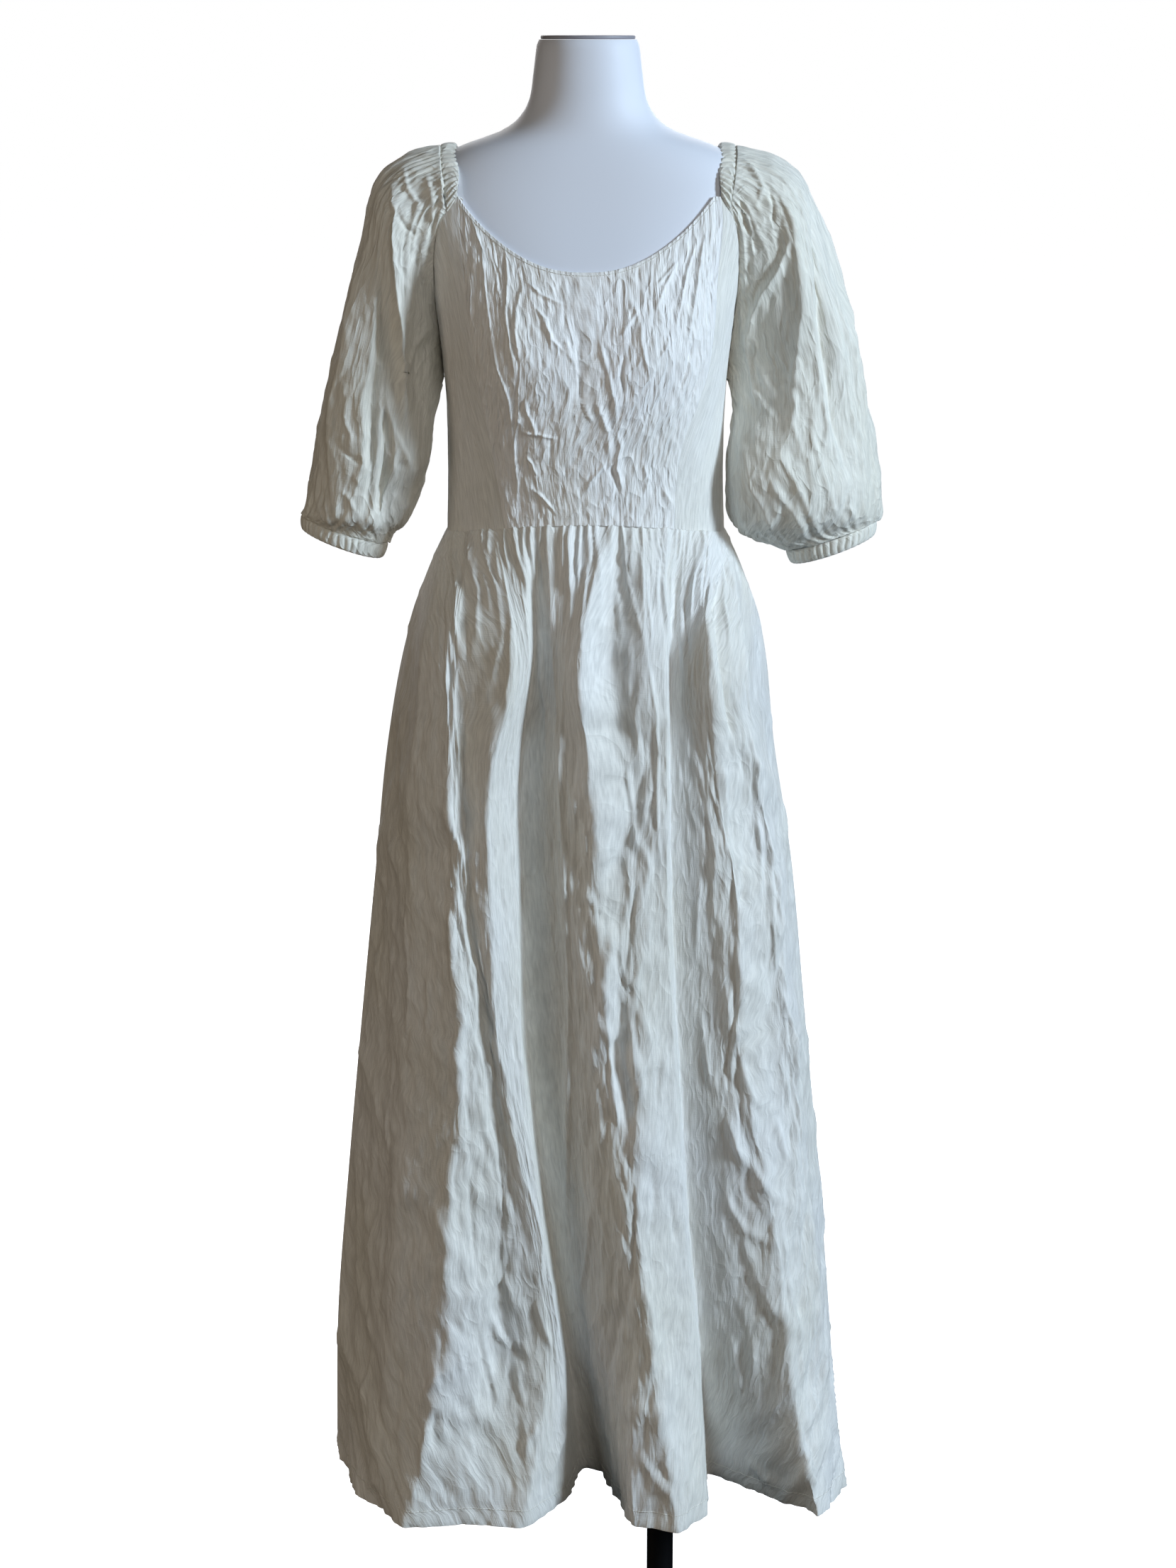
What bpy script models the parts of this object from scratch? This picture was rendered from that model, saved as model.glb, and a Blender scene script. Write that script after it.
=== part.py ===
"""A peasant dress in crinkled gauze, worn on a limbless dress form that stands on a pole and a round base.

Metres, +Z up. The dress faces -Y, its centre line is X = 0, and the base rests on Z = 0. "Left" and
"right" are the viewer's, with the front of the dress before them. Every piece of cloth is a thin wall:
its middle surface is worked out here and Solidify gives it its thickness. Round the body an angle of 0
is the left side seam, 90 the front centre, 180 the right side seam and 270 the back centre.
"""

import math

import bmesh
import bpy
from mathutils import Vector

NAME = "peasant_dress_on_form"

# Cloth
WALL = 0.0016
CASING_WALL = 0.0024
SEAM_GAP = 0.0004
RAGLAN_GAP = 0.0016
UNDERARM_GAP = 0.0025
CASING_END_GAP = 0.0023
CASING_SIDE_GAP = 0.0011
CUFF_GAP = 0.0013
SIDE_SEAM_GAP = 0.0008
BODY_SQUARENESS = 2.15
BODICE_SHIFT = -0.0022

# Heights
WAIST_SIDE_Z = 1.2345
WAIST_FRONT_RISE = 0.0185
WAIST_BACK_RISE = 0.006
HIP_Z = 1.02
KNEE_Z = 0.605
HEM_Z = 0.268
UNDERARM_Z = 1.381

# Neckline and raglan seams: angles in degrees from the side seam, front and back
CORNER_Z = 1.554
NECK_LOW_Z = 1.487
BACK_CORNER_Z = 1.562
BACK_LOW_Z = 1.530
NECKLINE_POWER = 2.3
RAGLAN_POWER = 1.67
BACK_CORNER_ANGLE = 44.0
BACK_FOOT_ANGLE = 50.0
CASING_SHARE = 0.08
RAGLAN_STEPS = (0.0, CASING_SHARE, 0.20, 0.35, 0.52, 0.68, 0.84, 1.0)
SEAM_TURN = math.radians(0.13)

# Gathers: 96 at the waist, 28 in each neck casing and 24 in each cuff
WAIST_GATHERS = 48
NECK_GATHERS = 28
CUFF_GATHERS = 24
SKIRT_COLUMNS = 64
SLEEVE_COLUMNS = 30
MERGED_GATHER_DEPTH = 0.0036
GATHERS_END_Z = 0.98
GATHER_UNEVENNESS = 0.22
SEAM_FADE_COLUMNS = 3
NECK_GATHER_DEPTH = 0.0011
CUFF_GATHER_DEPTH = 0.0013
SKIRT_PUFF = 0.0115
SKIRT_GIRTH = (0.18, 0.14)

# The bodice: height, half width, depth of the front, depth of the back
BODICE = (
    (1.225, 0.1345, 0.1020, 0.0960),
    (1.300, 0.1325, 0.1075, 0.0980),
    (1.360, 0.1335, 0.1195, 0.1010),
    (1.410, 0.1375, 0.1265, 0.1060),
    (1.450, 0.1430, 0.1185, 0.1100),
    (1.487, 0.1500, 0.1045, 0.1125),
    (1.530, 0.1610, 0.0885, 0.1110),
    (1.570, 0.1660, 0.0785, 0.1050),
)

# The princess seams: share of the way up, then the left and the right seam's angle from its own side
PRINCESS = (
    (0.00, 57.0, 53.0),
    (0.25, 50.0, 49.0),
    (0.52, 42.5, 33.0),
    (0.80, 42.5, 36.0),
    (1.00, 44.5, 41.0),
)

# The form: height, half width, depth of the front, depth of the back
FORM = (
    (0.905, 0.118, 0.066, 0.076),
    (0.915, 0.142, 0.084, 0.094),
    (0.940, 0.158, 0.097, 0.108),
    (0.985, 0.167, 0.104, 0.115),
    (1.040, 0.168, 0.105, 0.116),
    (1.100, 0.157, 0.098, 0.108),
    (1.165, 0.135, 0.088, 0.091),
    (1.235, 0.116, 0.084, 0.080),
    (1.300, 0.120, 0.094, 0.084),
    (1.360, 0.127, 0.110, 0.090),
    (1.410, 0.131, 0.117, 0.096),
    (1.455, 0.137, 0.109, 0.101),
    (1.490, 0.146, 0.097, 0.105),
    (1.530, 0.158, 0.081, 0.104),
    (1.560, 0.160, 0.070, 0.096),
    (1.582, 0.146, 0.062, 0.084),
    (1.596, 0.127, 0.057, 0.073),
    (1.604, 0.107, 0.054, 0.066),
    (1.611, 0.086, 0.052, 0.060),
    (1.622, 0.068, 0.050, 0.055),
    (1.640, 0.0560, 0.048, 0.051),
    (1.665, 0.0515, 0.047, 0.048),
    (1.692, 0.0480, 0.045, 0.046),
    (1.6965, 0.0460, 0.043, 0.044),
)
FORM_SEGMENTS = 32
NECK_CAP_HEIGHT = 0.0035

# The skirt's folds, round the body from the left side seam: places at hip, knee and hem
FRONT_FOLDS = (
    ("left side", (-0.1945, 0.000), (-0.243, 0.000), (-0.262, 0.000)),
    ("left shoulder of the wide fold", (-0.174, -0.085), (-0.214, -0.095), (-0.245, -0.100)),
    ("wide fold, outer crest", (-0.137, -0.134), (-0.150, -0.172), (-0.168, -0.192)),
    ("wide fold, its dip", (-0.113, -0.124), (-0.108, -0.166), (-0.115, -0.186)),
    ("wide fold, inner crest", (-0.094, -0.146), (-0.066, -0.176), (-0.062, -0.184)),
    ("wide fold, lip over the valley", (-0.076, -0.134), (-0.047, -0.140), (-0.017, -0.105)),
    ("centre valley, left", (-0.056, -0.117), (-0.040, -0.078), (-0.007, -0.030)),
    ("centre valley, right", (-0.046, -0.117), (-0.026, -0.078), (0.011, -0.030)),
    ("middle fold, left flank", (-0.026, -0.132), (0.004, -0.130), (0.022, -0.112)),
    ("middle fold, left crest", (0.006, -0.152), (0.038, -0.176), (0.042, -0.186)),
    ("middle fold, right crest", (0.036, -0.148), (0.074, -0.182), (0.088, -0.198)),
    ("middle fold, sharp edge", (0.064, -0.149), (0.094, -0.170), (0.119, -0.160)),
    ("right valley", (0.087, -0.123), (0.112, -0.100), (0.121, -0.052)),
    ("right valley, long flank", (0.102, -0.128), (0.146, -0.124), (0.174, -0.105)),
    ("right fold, crest", (0.124, -0.138), (0.184, -0.150), (0.229, -0.162)),
    ("right fold, shoulder", (0.161, -0.085), (0.220, -0.082), (0.262, -0.090)),
    ("right side", (0.1815, 0.000), (0.232, 0.000), (0.260, 0.000)),
)
BACK_FOLDS = (
    ("right side", (0.1815, 0.000), (0.232, 0.000), (0.260, 0.000)),
    ("right back shoulder", (0.165, 0.080), (0.215, 0.088), (0.245, 0.100)),
    ("right back fold", (0.130, 0.136), (0.168, 0.164), (0.192, 0.182)),
    ("right back valley", (0.092, 0.128), (0.108, 0.110), (0.122, 0.088)),
    ("middle back fold, right crest", (0.050, 0.156), (0.066, 0.182), (0.076, 0.196)),
    ("middle back fold, left crest", (0.020, 0.154), (0.020, 0.184), (0.018, 0.198)),
    ("middle back valley", (-0.012, 0.134), (-0.022, 0.112), (-0.030, 0.084)),
    ("left back fold, inner crest", (-0.056, 0.156), (-0.068, 0.182), (-0.078, 0.192)),
    ("left back valley", (-0.092, 0.130), (-0.112, 0.128), (-0.130, 0.112)),
    ("left back fold, outer crest", (-0.136, 0.130), (-0.180, 0.152), (-0.206, 0.168)),
    ("left back shoulder", (-0.178, 0.074), (-0.222, 0.082), (-0.248, 0.094)),
    ("left side", (-0.1945, 0.000), (-0.243, 0.000), (-0.262, 0.000)),
)
# The gathered rows below the waist seam: how far down, and how deep the gathers are
WAIST_ROWS = ((0.000, 0.0015), (0.009, 0.0022), (0.030, 0.0025))
SKIRT_ROWS = (1.180, 1.120, 1.050, 0.960, 0.850, 0.730, 0.605, 0.490, 0.380, HEM_Z)

# The casings' inner edge over the shoulder: across, height
CASING_EDGE = (0.1245, 1.6004)
# Sleeve heads: raglan share, then the outermost point (across, height) of the left and the right sleeve,
# how far the cloth bellies out to front and back, and how round its inner side is
SLEEVE_HEAD = (
    (CASING_SHARE, (0.1395, 1.5985), (0.1395, 1.5985), 0.000, 1.00),
    (0.20, (0.1690, 1.5905), (0.1750, 1.5905), 0.006, 1.00),
    (0.35, (0.1925, 1.5750), (0.1980, 1.5755), 0.017, 1.00),
    (0.52, (0.2050, 1.5530), (0.2120, 1.5530), 0.028, 1.00),
    (0.68, (0.2140, 1.5200), (0.2235, 1.5200), 0.037, 1.05),
    (0.84, (0.2265, 1.4680), (0.2390, 1.4680), 0.045, 1.12),
    (1.00, (0.2420, 1.4100), (0.2560, 1.4100), 0.052, 1.25),
)
# Sleeve tubes below the underarm: inner and outer point (across, height) on the left, then on the right,
# belly, roundness, and how far the right sleeve's inner side lies forward, against the bodice
SLEEVE_TUBE = (
    ((0.1470, 1.3500), (0.2535, 1.3660), (0.1388, 1.3500), (0.2665, 1.3600), 0.056, 1.6, 0.014),
    ((0.1520, 1.3080), (0.2620, 1.3260), (0.1332, 1.3080), (0.2765, 1.3180), 0.059, 2.0, 0.030),
    ((0.1600, 1.2740), (0.2675, 1.2900), (0.1335, 1.2740), (0.2830, 1.2860), 0.059, 2.0, 0.032),
    ((0.1735, 1.2450), (0.2740, 1.2580), (0.1405, 1.2440), (0.2845, 1.2570), 0.054, 2.0, 0.022),
    ((0.1890, 1.2300), (0.2785, 1.2495), (0.1600, 1.2240), (0.2830, 1.2440), 0.041, 2.0, 0.006),
)
# The cuffs: their upper and lower edges, in the same columns
CUFF = (
    ((0.1955, 1.2205), (0.2770, 1.2485), (0.1935, 1.2140), (0.2790, 1.2430), 0.0375, 2.0, 0.0),
    ((0.2010, 1.2065), (0.2770, 1.2345), (0.1990, 1.2010), (0.2775, 1.2290), 0.0370, 2.0, 0.0),
)

# The stand
POLE_X = 0.0757
POLE_RADIUS = 0.0138
BASE_RADIUS = 0.170
BASE_THICKNESS = 0.008
HUB_RADIUS = 0.026
HUB_HEIGHT = 0.045
COLLAR_RADIUS = 0.023
COLLAR_HEIGHT = 0.035
BASE_EDGE = 0.003
HUB_EDGE = 0.002
POLE_EDGE = 0.001
CAP_EDGE = 0.0008
CAP_INSET = 0.0015
PIECE_GAP = 0.0003
ROUND_SEGMENTS = 32
CREASE_ANGLE = math.radians(50)

MATERIALS = {
    "gauze": ((0.80, 0.79, 0.72, 1.0), 0.90, 0.0),
    "gauze_crinkled": ((0.79, 0.78, 0.72, 1.0), 0.92, 0.0),
    "form_shell": ((0.80, 0.81, 0.86, 1.0), 0.30, 0.0),
    "cap_grey": ((0.33, 0.32, 0.36, 1.0), 0.45, 0.0),
    "black_metal": ((0.012, 0.012, 0.014, 1.0), 0.42, 0.6),
}


def clear_scene():
    for old in list(bpy.data.objects):
        bpy.data.objects.remove(old, do_unlink=True)


def material(name):
    found = bpy.data.materials.get(name)
    if found:
        return found
    colour, roughness, metallic = MATERIALS[name]
    made = bpy.data.materials.new(name)
    made.use_nodes = True
    shader = made.node_tree.nodes["Principled BSDF"]
    shader.inputs["Base Color"].default_value = colour
    shader.inputs["Roughness"].default_value = roughness
    shader.inputs["Metallic"].default_value = metallic
    return made


def mix(a, b, share):
    return a + (b - a) * share


def spline(knots, values, at):
    """A smooth curve through values at rising knots, read at one place."""
    last = len(knots) - 1
    i = max(k for k in range(last) if k == 0 or knots[k] <= at)
    span = knots[i + 1] - knots[i]
    t = min(max((at - knots[i]) / span, 0.0), 1.0)

    def slope(k):
        if k == 0 or k == last:
            near = 1 if k == 0 else last
            return (values[near] - values[near - 1]) / (knots[near] - knots[near - 1])
        return (values[k + 1] - values[k - 1]) / (knots[k + 1] - knots[k - 1])

    start = slope(i) * span
    end = slope(i + 1) * span
    return (
        values[i] * (2 * t**3 - 3 * t**2 + 1)
        + start * (t**3 - 2 * t**2 + t)
        + values[i + 1] * (3 * t**2 - 2 * t**3)
        + end * (t**3 - t**2)
    )


def table_at(table, height):
    """A row of a table of heights, read between its rows."""
    heights = [row[0] for row in table]
    return [spline(heights, [row[k] for row in table], height) for k in range(1, len(table[0]))]


def oval(angle, half_width, front, back, squareness):
    """A point on a squarish oval round the body."""
    across = math.cos(angle)
    along = math.sin(angle)
    power = 2.0 / squareness
    depth = front if along > 0 else back
    x = -half_width * math.copysign(abs(across) ** power, across)
    y = -depth * math.copysign(abs(along) ** power, along)
    return x, y


def body_point(angle, height):
    """A point on the bodice's middle surface."""
    half_width, front, back = table_at(BODICE, height)
    x, y = oval(angle, half_width, front, back, BODY_SQUARENESS)
    return Vector((x + BODICE_SHIFT, y, height))


def waist_height(angle):
    rise = WAIST_FRONT_RISE if math.sin(angle) > 0 else WAIST_BACK_RISE
    return WAIST_SIDE_Z + rise * math.sin(angle) ** 2


def raglan(share, side, facing):
    """Angle and height on a raglan seam: share 0 at the neckline, 1 at the underarm."""
    if facing == "front":
        corner = math.radians(PRINCESS[-1][1 if side < 0 else 2])
        top = CORNER_Z
    else:
        corner = math.radians(BACK_CORNER_ANGLE)
        top = BACK_CORNER_Z
    away = max(corner * (1 - share) ** RAGLAN_POWER, SEAM_TURN)
    away = away if facing == "front" else -away
    angle = away if side < 0 else math.pi - away
    return angle, mix(top, UNDERARM_Z, share)


def stitch(bm, upper, lower):
    """Faces between two rows of (share, vertex), which may differ in number."""
    i = j = 0
    while i < len(upper) - 1 or j < len(lower) - 1:
        ahead_i = upper[i + 1][0] if i < len(upper) - 1 else math.inf
        ahead_j = lower[j + 1][0] if j < len(lower) - 1 else math.inf
        if abs(ahead_i - ahead_j) < 1e-9:
            corners = (upper[i][1], lower[j][1], lower[j + 1][1], upper[i + 1][1])
            i += 1
            j += 1
        elif ahead_i < ahead_j:
            corners = (upper[i][1], lower[j][1], upper[i + 1][1])
            i += 1
        else:
            corners = (upper[i][1], lower[j][1], lower[j + 1][1])
            j += 1
        bm.faces.new(corners)


def cloth(name, rows, material_name, wall=WALL, rings_from=math.inf, turned=False):
    """A wall of cloth through rows of (share, point), from its top row down.

    The rows from number rings_from on are closed rings. A turned piece has its rows laid from right to left.
    """
    mesh = bpy.data.meshes.new(name)
    bm = bmesh.new()
    laid = []
    for number, row in enumerate(rows):
        corners = [(share, bm.verts.new(point)) for share, point in row[:-1]]
        last = corners[0][1] if number >= rings_from else bm.verts.new(row[-1][1])
        laid.append(corners + [(row[-1][0], last)])
    for upper, lower in zip(laid, laid[1:]):
        stitch(bm, upper, lower)
    if turned:
        bmesh.ops.reverse_faces(bm, faces=bm.faces)
    bm.normal_update()
    bm.to_mesh(mesh)
    bm.free()
    piece = add_object(name, mesh, material_name)
    solid = piece.modifiers.new("wall", "SOLIDIFY")
    solid.thickness = wall
    solid.offset = 0.0
    return piece


def add_object(name, mesh, material_name):
    mesh.shade_smooth()
    piece = bpy.data.objects.new(name, mesh)
    piece.data.materials.append(material(material_name))
    bpy.data.collections[NAME].objects.link(piece)
    return piece


def shares(count):
    return [k / count for k in range(count + 1)]


def princess_angle(side, share):
    """The princess seam's angle round the body, by the share of the way up."""
    column = 1 if side < 0 else 2
    own = math.radians(spline([row[0] for row in PRINCESS], [row[column] for row in PRINCESS], share))
    return own if side < 0 else math.pi - own


BODICE_ROWS = shares(8)
CENTRE_COLUMNS = shares(16)
SIDE_COLUMNS = [1 - step for step in reversed(RAGLAN_STEPS)]


def make_bodice_front():
    half_corner = math.cos(princess_angle(-1, 1.0))
    rows = []
    for up in reversed(BODICE_ROWS):
        row = []
        left = princess_angle(-1, up) + SEAM_TURN
        right = princess_angle(1, up) - SEAM_TURN
        for share in CENTRE_COLUMNS:
            angle = mix(left, right, share)
            top_angle = mix(princess_angle(-1, 1.0), princess_angle(1, 1.0), share)
            out = min(abs(math.cos(top_angle)) / half_corner, 1.0)
            top = mix(NECK_LOW_Z, CORNER_Z, out**NECKLINE_POWER)
            row.append((share, body_point(angle, mix(waist_height(angle) + SEAM_GAP, top, up))))
        rows.append(row)
    return cloth("bodice_front", rows, "gauze_crinkled")


def make_bodice_side(name, side):
    rows = []
    seam_foot = princess_angle(side, 0.0)
    seam_head = princess_angle(side, 1.0)
    start = SEAM_TURN if side < 0 else math.pi - SEAM_TURN
    for up in reversed(BODICE_ROWS):
        row = []
        bow = princess_angle(side, up) - mix(seam_foot, seam_head, up)
        for share in SIDE_COLUMNS:
            top_angle, top = raglan(1 - share, side, "front")
            angle = mix(mix(start, seam_foot, share), top_angle, up) + share * bow
            inset = share * SEAM_TURN * (-1 if side < 0 else 1)
            row.append((share, body_point(angle + inset, mix(waist_height(angle) + SEAM_GAP, top, up))))
        rows.append(row if side < 0 else [(1 - share, point) for share, point in reversed(row)])
    return cloth(name, rows, "gauze")


def make_bodice_back():
    """Raglan edge, neckline and raglan edge, from the right side seam round to the left."""
    neckline = shares(8)
    foot_turn = math.radians(BACK_FOOT_ANGLE)
    columns = []
    for step in reversed(RAGLAN_STEPS):
        angle, top = raglan(step, 1, "back")
        columns.append((math.pi + mix(0, foot_turn, 1 - step), angle, top))
    right_angle = columns[-1][1]
    left_angle = 2 * math.pi + raglan(0.0, -1, "back")[0]
    for share in neckline[1:-1]:
        out = abs(2 * share - 1)
        foot = mix(math.pi + foot_turn, 2 * math.pi - foot_turn, share)
        top = mix(BACK_LOW_Z, BACK_CORNER_Z, out**NECKLINE_POWER)
        columns.append((foot, mix(right_angle, left_angle, share), top))
    for step in RAGLAN_STEPS:
        angle, top = raglan(step, -1, "back")
        columns.append((2 * math.pi - mix(0, foot_turn, 1 - step), 2 * math.pi + angle, top))
    columns[0] = (math.pi + SEAM_TURN, columns[0][1], columns[0][2])
    columns[-1] = (2 * math.pi - SEAM_TURN, columns[-1][1], columns[-1][2])
    rows = []
    for up in reversed(BODICE_ROWS):
        row = []
        for k, (foot, head, top) in enumerate(columns):
            angle = mix(foot, head, up)
            height = mix(waist_height(angle) + SEAM_GAP, top, up)
            row.append((k / (len(columns) - 1), body_point(angle, height)))
        rows.append(row)
    return cloth("bodice_back", rows, "gauze")


def fold_shares(folds):
    """Each fold's share of the panel's width, from the cloth's length along the hem."""
    run = [0.0]
    for before, after in zip(folds, folds[1:]):
        run.append(run[-1] + math.dist(before[3], after[3]))
    return [length / run[-1] for length in run]


def outward(x, y):
    """The direction straight out from the skirt."""
    across = x / SKIRT_GIRTH[0] ** 2
    along = y / SKIRT_GIRTH[1] ** 2
    length = math.hypot(across, along)
    return across / length, along / length


def skirt_point(folds, places, share, height, start):
    """A point of a skirt panel, share of the way round it; start is the panel's first side seam."""
    angle = start + math.pi * share
    seam = waist_height(angle) - SEAM_GAP
    levels = [HEM_Z, KNEE_Z, HIP_Z, seam]
    x_run = [spline(places, [fold[level][0] for fold in folds], share) for level in (3, 2, 1)]
    y_run = [spline(places, [fold[level][1] for fold in folds], share) for level in (3, 2, 1)]
    waist = body_point(angle, WAIST_SIDE_Z)
    x = spline(levels, x_run + [waist.x], height)
    y = spline(levels, y_run + [waist.y], height)
    drop = min(max((seam - height) / (seam - HIP_Z), 0.0), 1.0)
    puff = SKIRT_PUFF * math.sin(math.pi * drop**0.8)
    out_x, out_y = outward(x, y)
    return Vector((x + puff * out_x, y + puff * out_y, height)), Vector((out_x, out_y, 0.0))


def make_skirt_panel(name, folds, start):
    places = fold_shares(folds)
    fine = shares(2 * WAIST_GATHERS)
    coarse = shares(SKIRT_COLUMNS)
    rows = []

    def row_of(columns, height_of, depth):
        row = []
        for k, share in enumerate(columns):
            height = height_of(start + math.pi * share)
            point, out = skirt_point(folds, places, share, height, start)
            from_seam = min(k, len(columns) - 1 - k)
            uneven = 1 - GATHER_UNEVENNESS * (1 - math.sin(2.4 * k))
            wave = (1 if k % 2 else -1) * uneven * min(from_seam / SEAM_FADE_COLUMNS, 1.0)
            point += out * depth * wave
            if from_seam == 0:
                point.y += SIDE_SEAM_GAP / 2 * (-1 if start == 0.0 else 1)
            row.append((share, point))
        rows.append(row)

    for drop, depth in WAIST_ROWS:
        row_of(fine, lambda angle: waist_height(angle) - SEAM_GAP - drop, depth)
    for height in SKIRT_ROWS:
        fade = min(max((height - GATHERS_END_Z) / (SKIRT_ROWS[0] - GATHERS_END_Z), 0.0), 1.0)
        row_of(coarse, lambda angle: height, MERGED_GATHER_DEPTH * fade)
    return cloth(name, rows, "gauze")


def sleeve_ring(front_seam, back_seam, outer, belly, roundness, forward, share):
    """A point round a sleeve, from its front seam over the outer side to its back seam."""
    middle = (front_seam + back_seam) / 2
    turn = math.pi * share
    reach = math.sin(turn) ** roundness
    point = middle + (front_seam - middle) * math.cos(turn) + (outer - middle) * reach
    point.y -= belly * math.sin(2 * turn) + forward * (1 - reach)
    return point


def seam_point(share, side, facing):
    angle, height = raglan(share, side, facing)
    return body_point(angle, height)


def pulled_back(front_seam, back_seam, outer, gap):
    """Both seam points moved from the bodice by the gap, the way that the sleeve leaves it."""
    away = (outer - (front_seam + back_seam) / 2).normalized() * gap
    return front_seam + away, back_seam + away


def head_station(station, side, end_gap=0.0):
    share, left, right, belly, roundness = station
    across, height = left if side < 0 else right
    outer = Vector((side * across, 0.0, height))
    gap = mix(RAGLAN_GAP, UNDERARM_GAP, min(2 * share, 1.0))
    seams = seam_point(share, side, "front"), seam_point(share, side, "back")
    front_seam, back_seam = pulled_back(*seams, outer, max(gap, end_gap))
    if share >= 1:
        back_seam = front_seam = (front_seam + back_seam) / 2
    return front_seam, back_seam, outer, belly, roundness, 0.0


def tube_station(station, side):
    inner, outer = station[0:2] if side < 0 else station[2:4]
    inner = Vector((side * inner[0], 0.0, inner[1]))
    outer = Vector((side * outer[0], 0.0, outer[1]))
    return inner, inner, outer, station[4], station[5], 0.0 if side < 0 else station[6]


def ring_row(station, columns, depth=0.0, shift=Vector((0.0, 0.0, 0.0))):
    """A row round a sleeve, its gathers standing in and out from the ring's middle."""
    middle = (station[0] + station[1]) / 2
    heart = mix(middle, station[2], 0.5) if station[0] == station[1] else middle
    row = []
    for k, share in enumerate(columns):
        point = sleeve_ring(*station, share)
        edge = k == 0 or share == 1.0
        wave = 0.0 if edge else (1 if k % 2 else -1) * depth
        row.append((share, point + (point - heart).normalized() * wave + shift))
    return row


def make_sleeve(name, side):
    """Open rows down to the underarm, where the sleeve's own seam closes it to a tube."""
    fine_neck = shares(2 * NECK_GATHERS)
    fine_cuff = shares(2 * CUFF_GATHERS)
    coarse = shares(SLEEVE_COLUMNS)
    heads = [head_station(row, side) for row in SLEEVE_HEAD]
    tubes = [tube_station(row, side) for row in SLEEVE_TUBE]
    cuff_top = tube_station(CUFF[0], side)
    out = Vector((side * CASING_SIDE_GAP, 0.0, -CASING_SIDE_GAP / 2))
    up = Vector((-side * 0.3 * CUFF_GAP, 0.0, CUFF_GAP))
    rows = [ring_row(heads[0], fine_neck, NECK_GATHER_DEPTH, out)]
    rows += [ring_row(station, coarse) for station in heads[1:]]
    rows += [ring_row(station, coarse) for station in tubes[:-1]]
    rows += [ring_row(tubes[-1], fine_cuff, CUFF_GATHER_DEPTH)]
    rows += [ring_row(cuff_top, fine_cuff, CUFF_GATHER_DEPTH, up)]
    return cloth(name, rows, "gauze", rings_from=len(heads) - 1, turned=side > 0)


def make_neck_casing(name, side):
    """The band that gathers the sleeve head, from the front corner over the shoulder to the back."""
    columns = shares(2 * NECK_GATHERS)
    edge_top = Vector((side * CASING_EDGE[0], 0.0, CASING_EDGE[1]))
    seams = seam_point(0.0, side, "front"), seam_point(0.0, side, "back")
    inner = (*pulled_back(*seams, edge_top, CASING_END_GAP), edge_top, 0.0, 1.0, 0.0)
    outer = head_station(SLEEVE_HEAD[0], side, CASING_END_GAP)
    rows = [ring_row(station, columns, NECK_GATHER_DEPTH) for station in (inner, outer)]
    return cloth(name, rows, "gauze", wall=CASING_WALL, turned=side > 0)


def make_cuff(name, side):
    columns = shares(2 * CUFF_GATHERS)
    rows = [ring_row(tube_station(row, side), columns, CUFF_GATHER_DEPTH) for row in CUFF]
    return cloth(name, rows, "gauze", wall=CASING_WALL, rings_from=0, turned=side > 0)


def make_form():
    mesh = bpy.data.meshes.new("dress_form")
    bm = bmesh.new()
    rings = []
    for height, half_width, front, back in FORM:
        ring = []
        for k in range(FORM_SEGMENTS):
            x, y = oval(2 * math.pi * k / FORM_SEGMENTS, half_width, front, back, BODY_SQUARENESS)
            ring.append(bm.verts.new((x, y, height)))
        rings.append(ring)
    for lower, upper in zip(rings, rings[1:]):
        for k in range(FORM_SEGMENTS):
            after = (k + 1) % FORM_SEGMENTS
            bm.faces.new((lower[k], lower[after], upper[after], upper[k]))
    bm.faces.new(list(reversed(rings[0])))
    bm.faces.new(rings[-1])
    bm.normal_update()
    bm.to_mesh(mesh)
    bm.free()
    form = add_object("dress_form", mesh, "form_shell")
    mesh.set_sharp_from_angle(angle=CREASE_ANGLE)
    return form


def make_neck_cap():
    height, half_width, front, back = FORM[-1]
    bpy.ops.mesh.primitive_cylinder_add(vertices=FORM_SEGMENTS, radius=1.0, depth=NECK_CAP_HEIGHT)
    cap = bpy.context.object
    for vertex in cap.data.vertices:
        vertex.co.x *= half_width - CAP_INSET
        vertex.co.y *= (front + back) / 2 - CAP_INSET
    place_primitive(cap, "neck_cap", (0.0, (back - front) / 2, height + PIECE_GAP + NECK_CAP_HEIGHT / 2))
    cap.data.materials.append(material("cap_grey"))
    soften_edge(cap, CAP_EDGE)


def place_primitive(piece, name, where):
    piece.name = name
    piece.data.name = name
    piece.location = where
    for owner in list(piece.users_collection):
        owner.objects.unlink(piece)
    bpy.data.collections[NAME].objects.link(piece)


def soften_edge(piece, width):
    bevel = piece.modifiers.new("edge", "BEVEL")
    bevel.width = width
    bevel.segments = 1
    bevel.limit_method = "ANGLE"
    piece.data.shade_smooth()
    piece.data.set_sharp_from_angle(angle=CREASE_ANGLE)


def make_round(name, radius, low, high, edge):
    """A turned piece of the stand, on the pole's axis."""
    bpy.ops.mesh.primitive_cylinder_add(vertices=ROUND_SEGMENTS, radius=radius, depth=high - low)
    piece = bpy.context.object
    place_primitive(piece, name, (POLE_X, 0.0, (low + high) / 2))
    piece.data.materials.append(material("black_metal"))
    soften_edge(piece, edge)
    return piece


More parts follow.
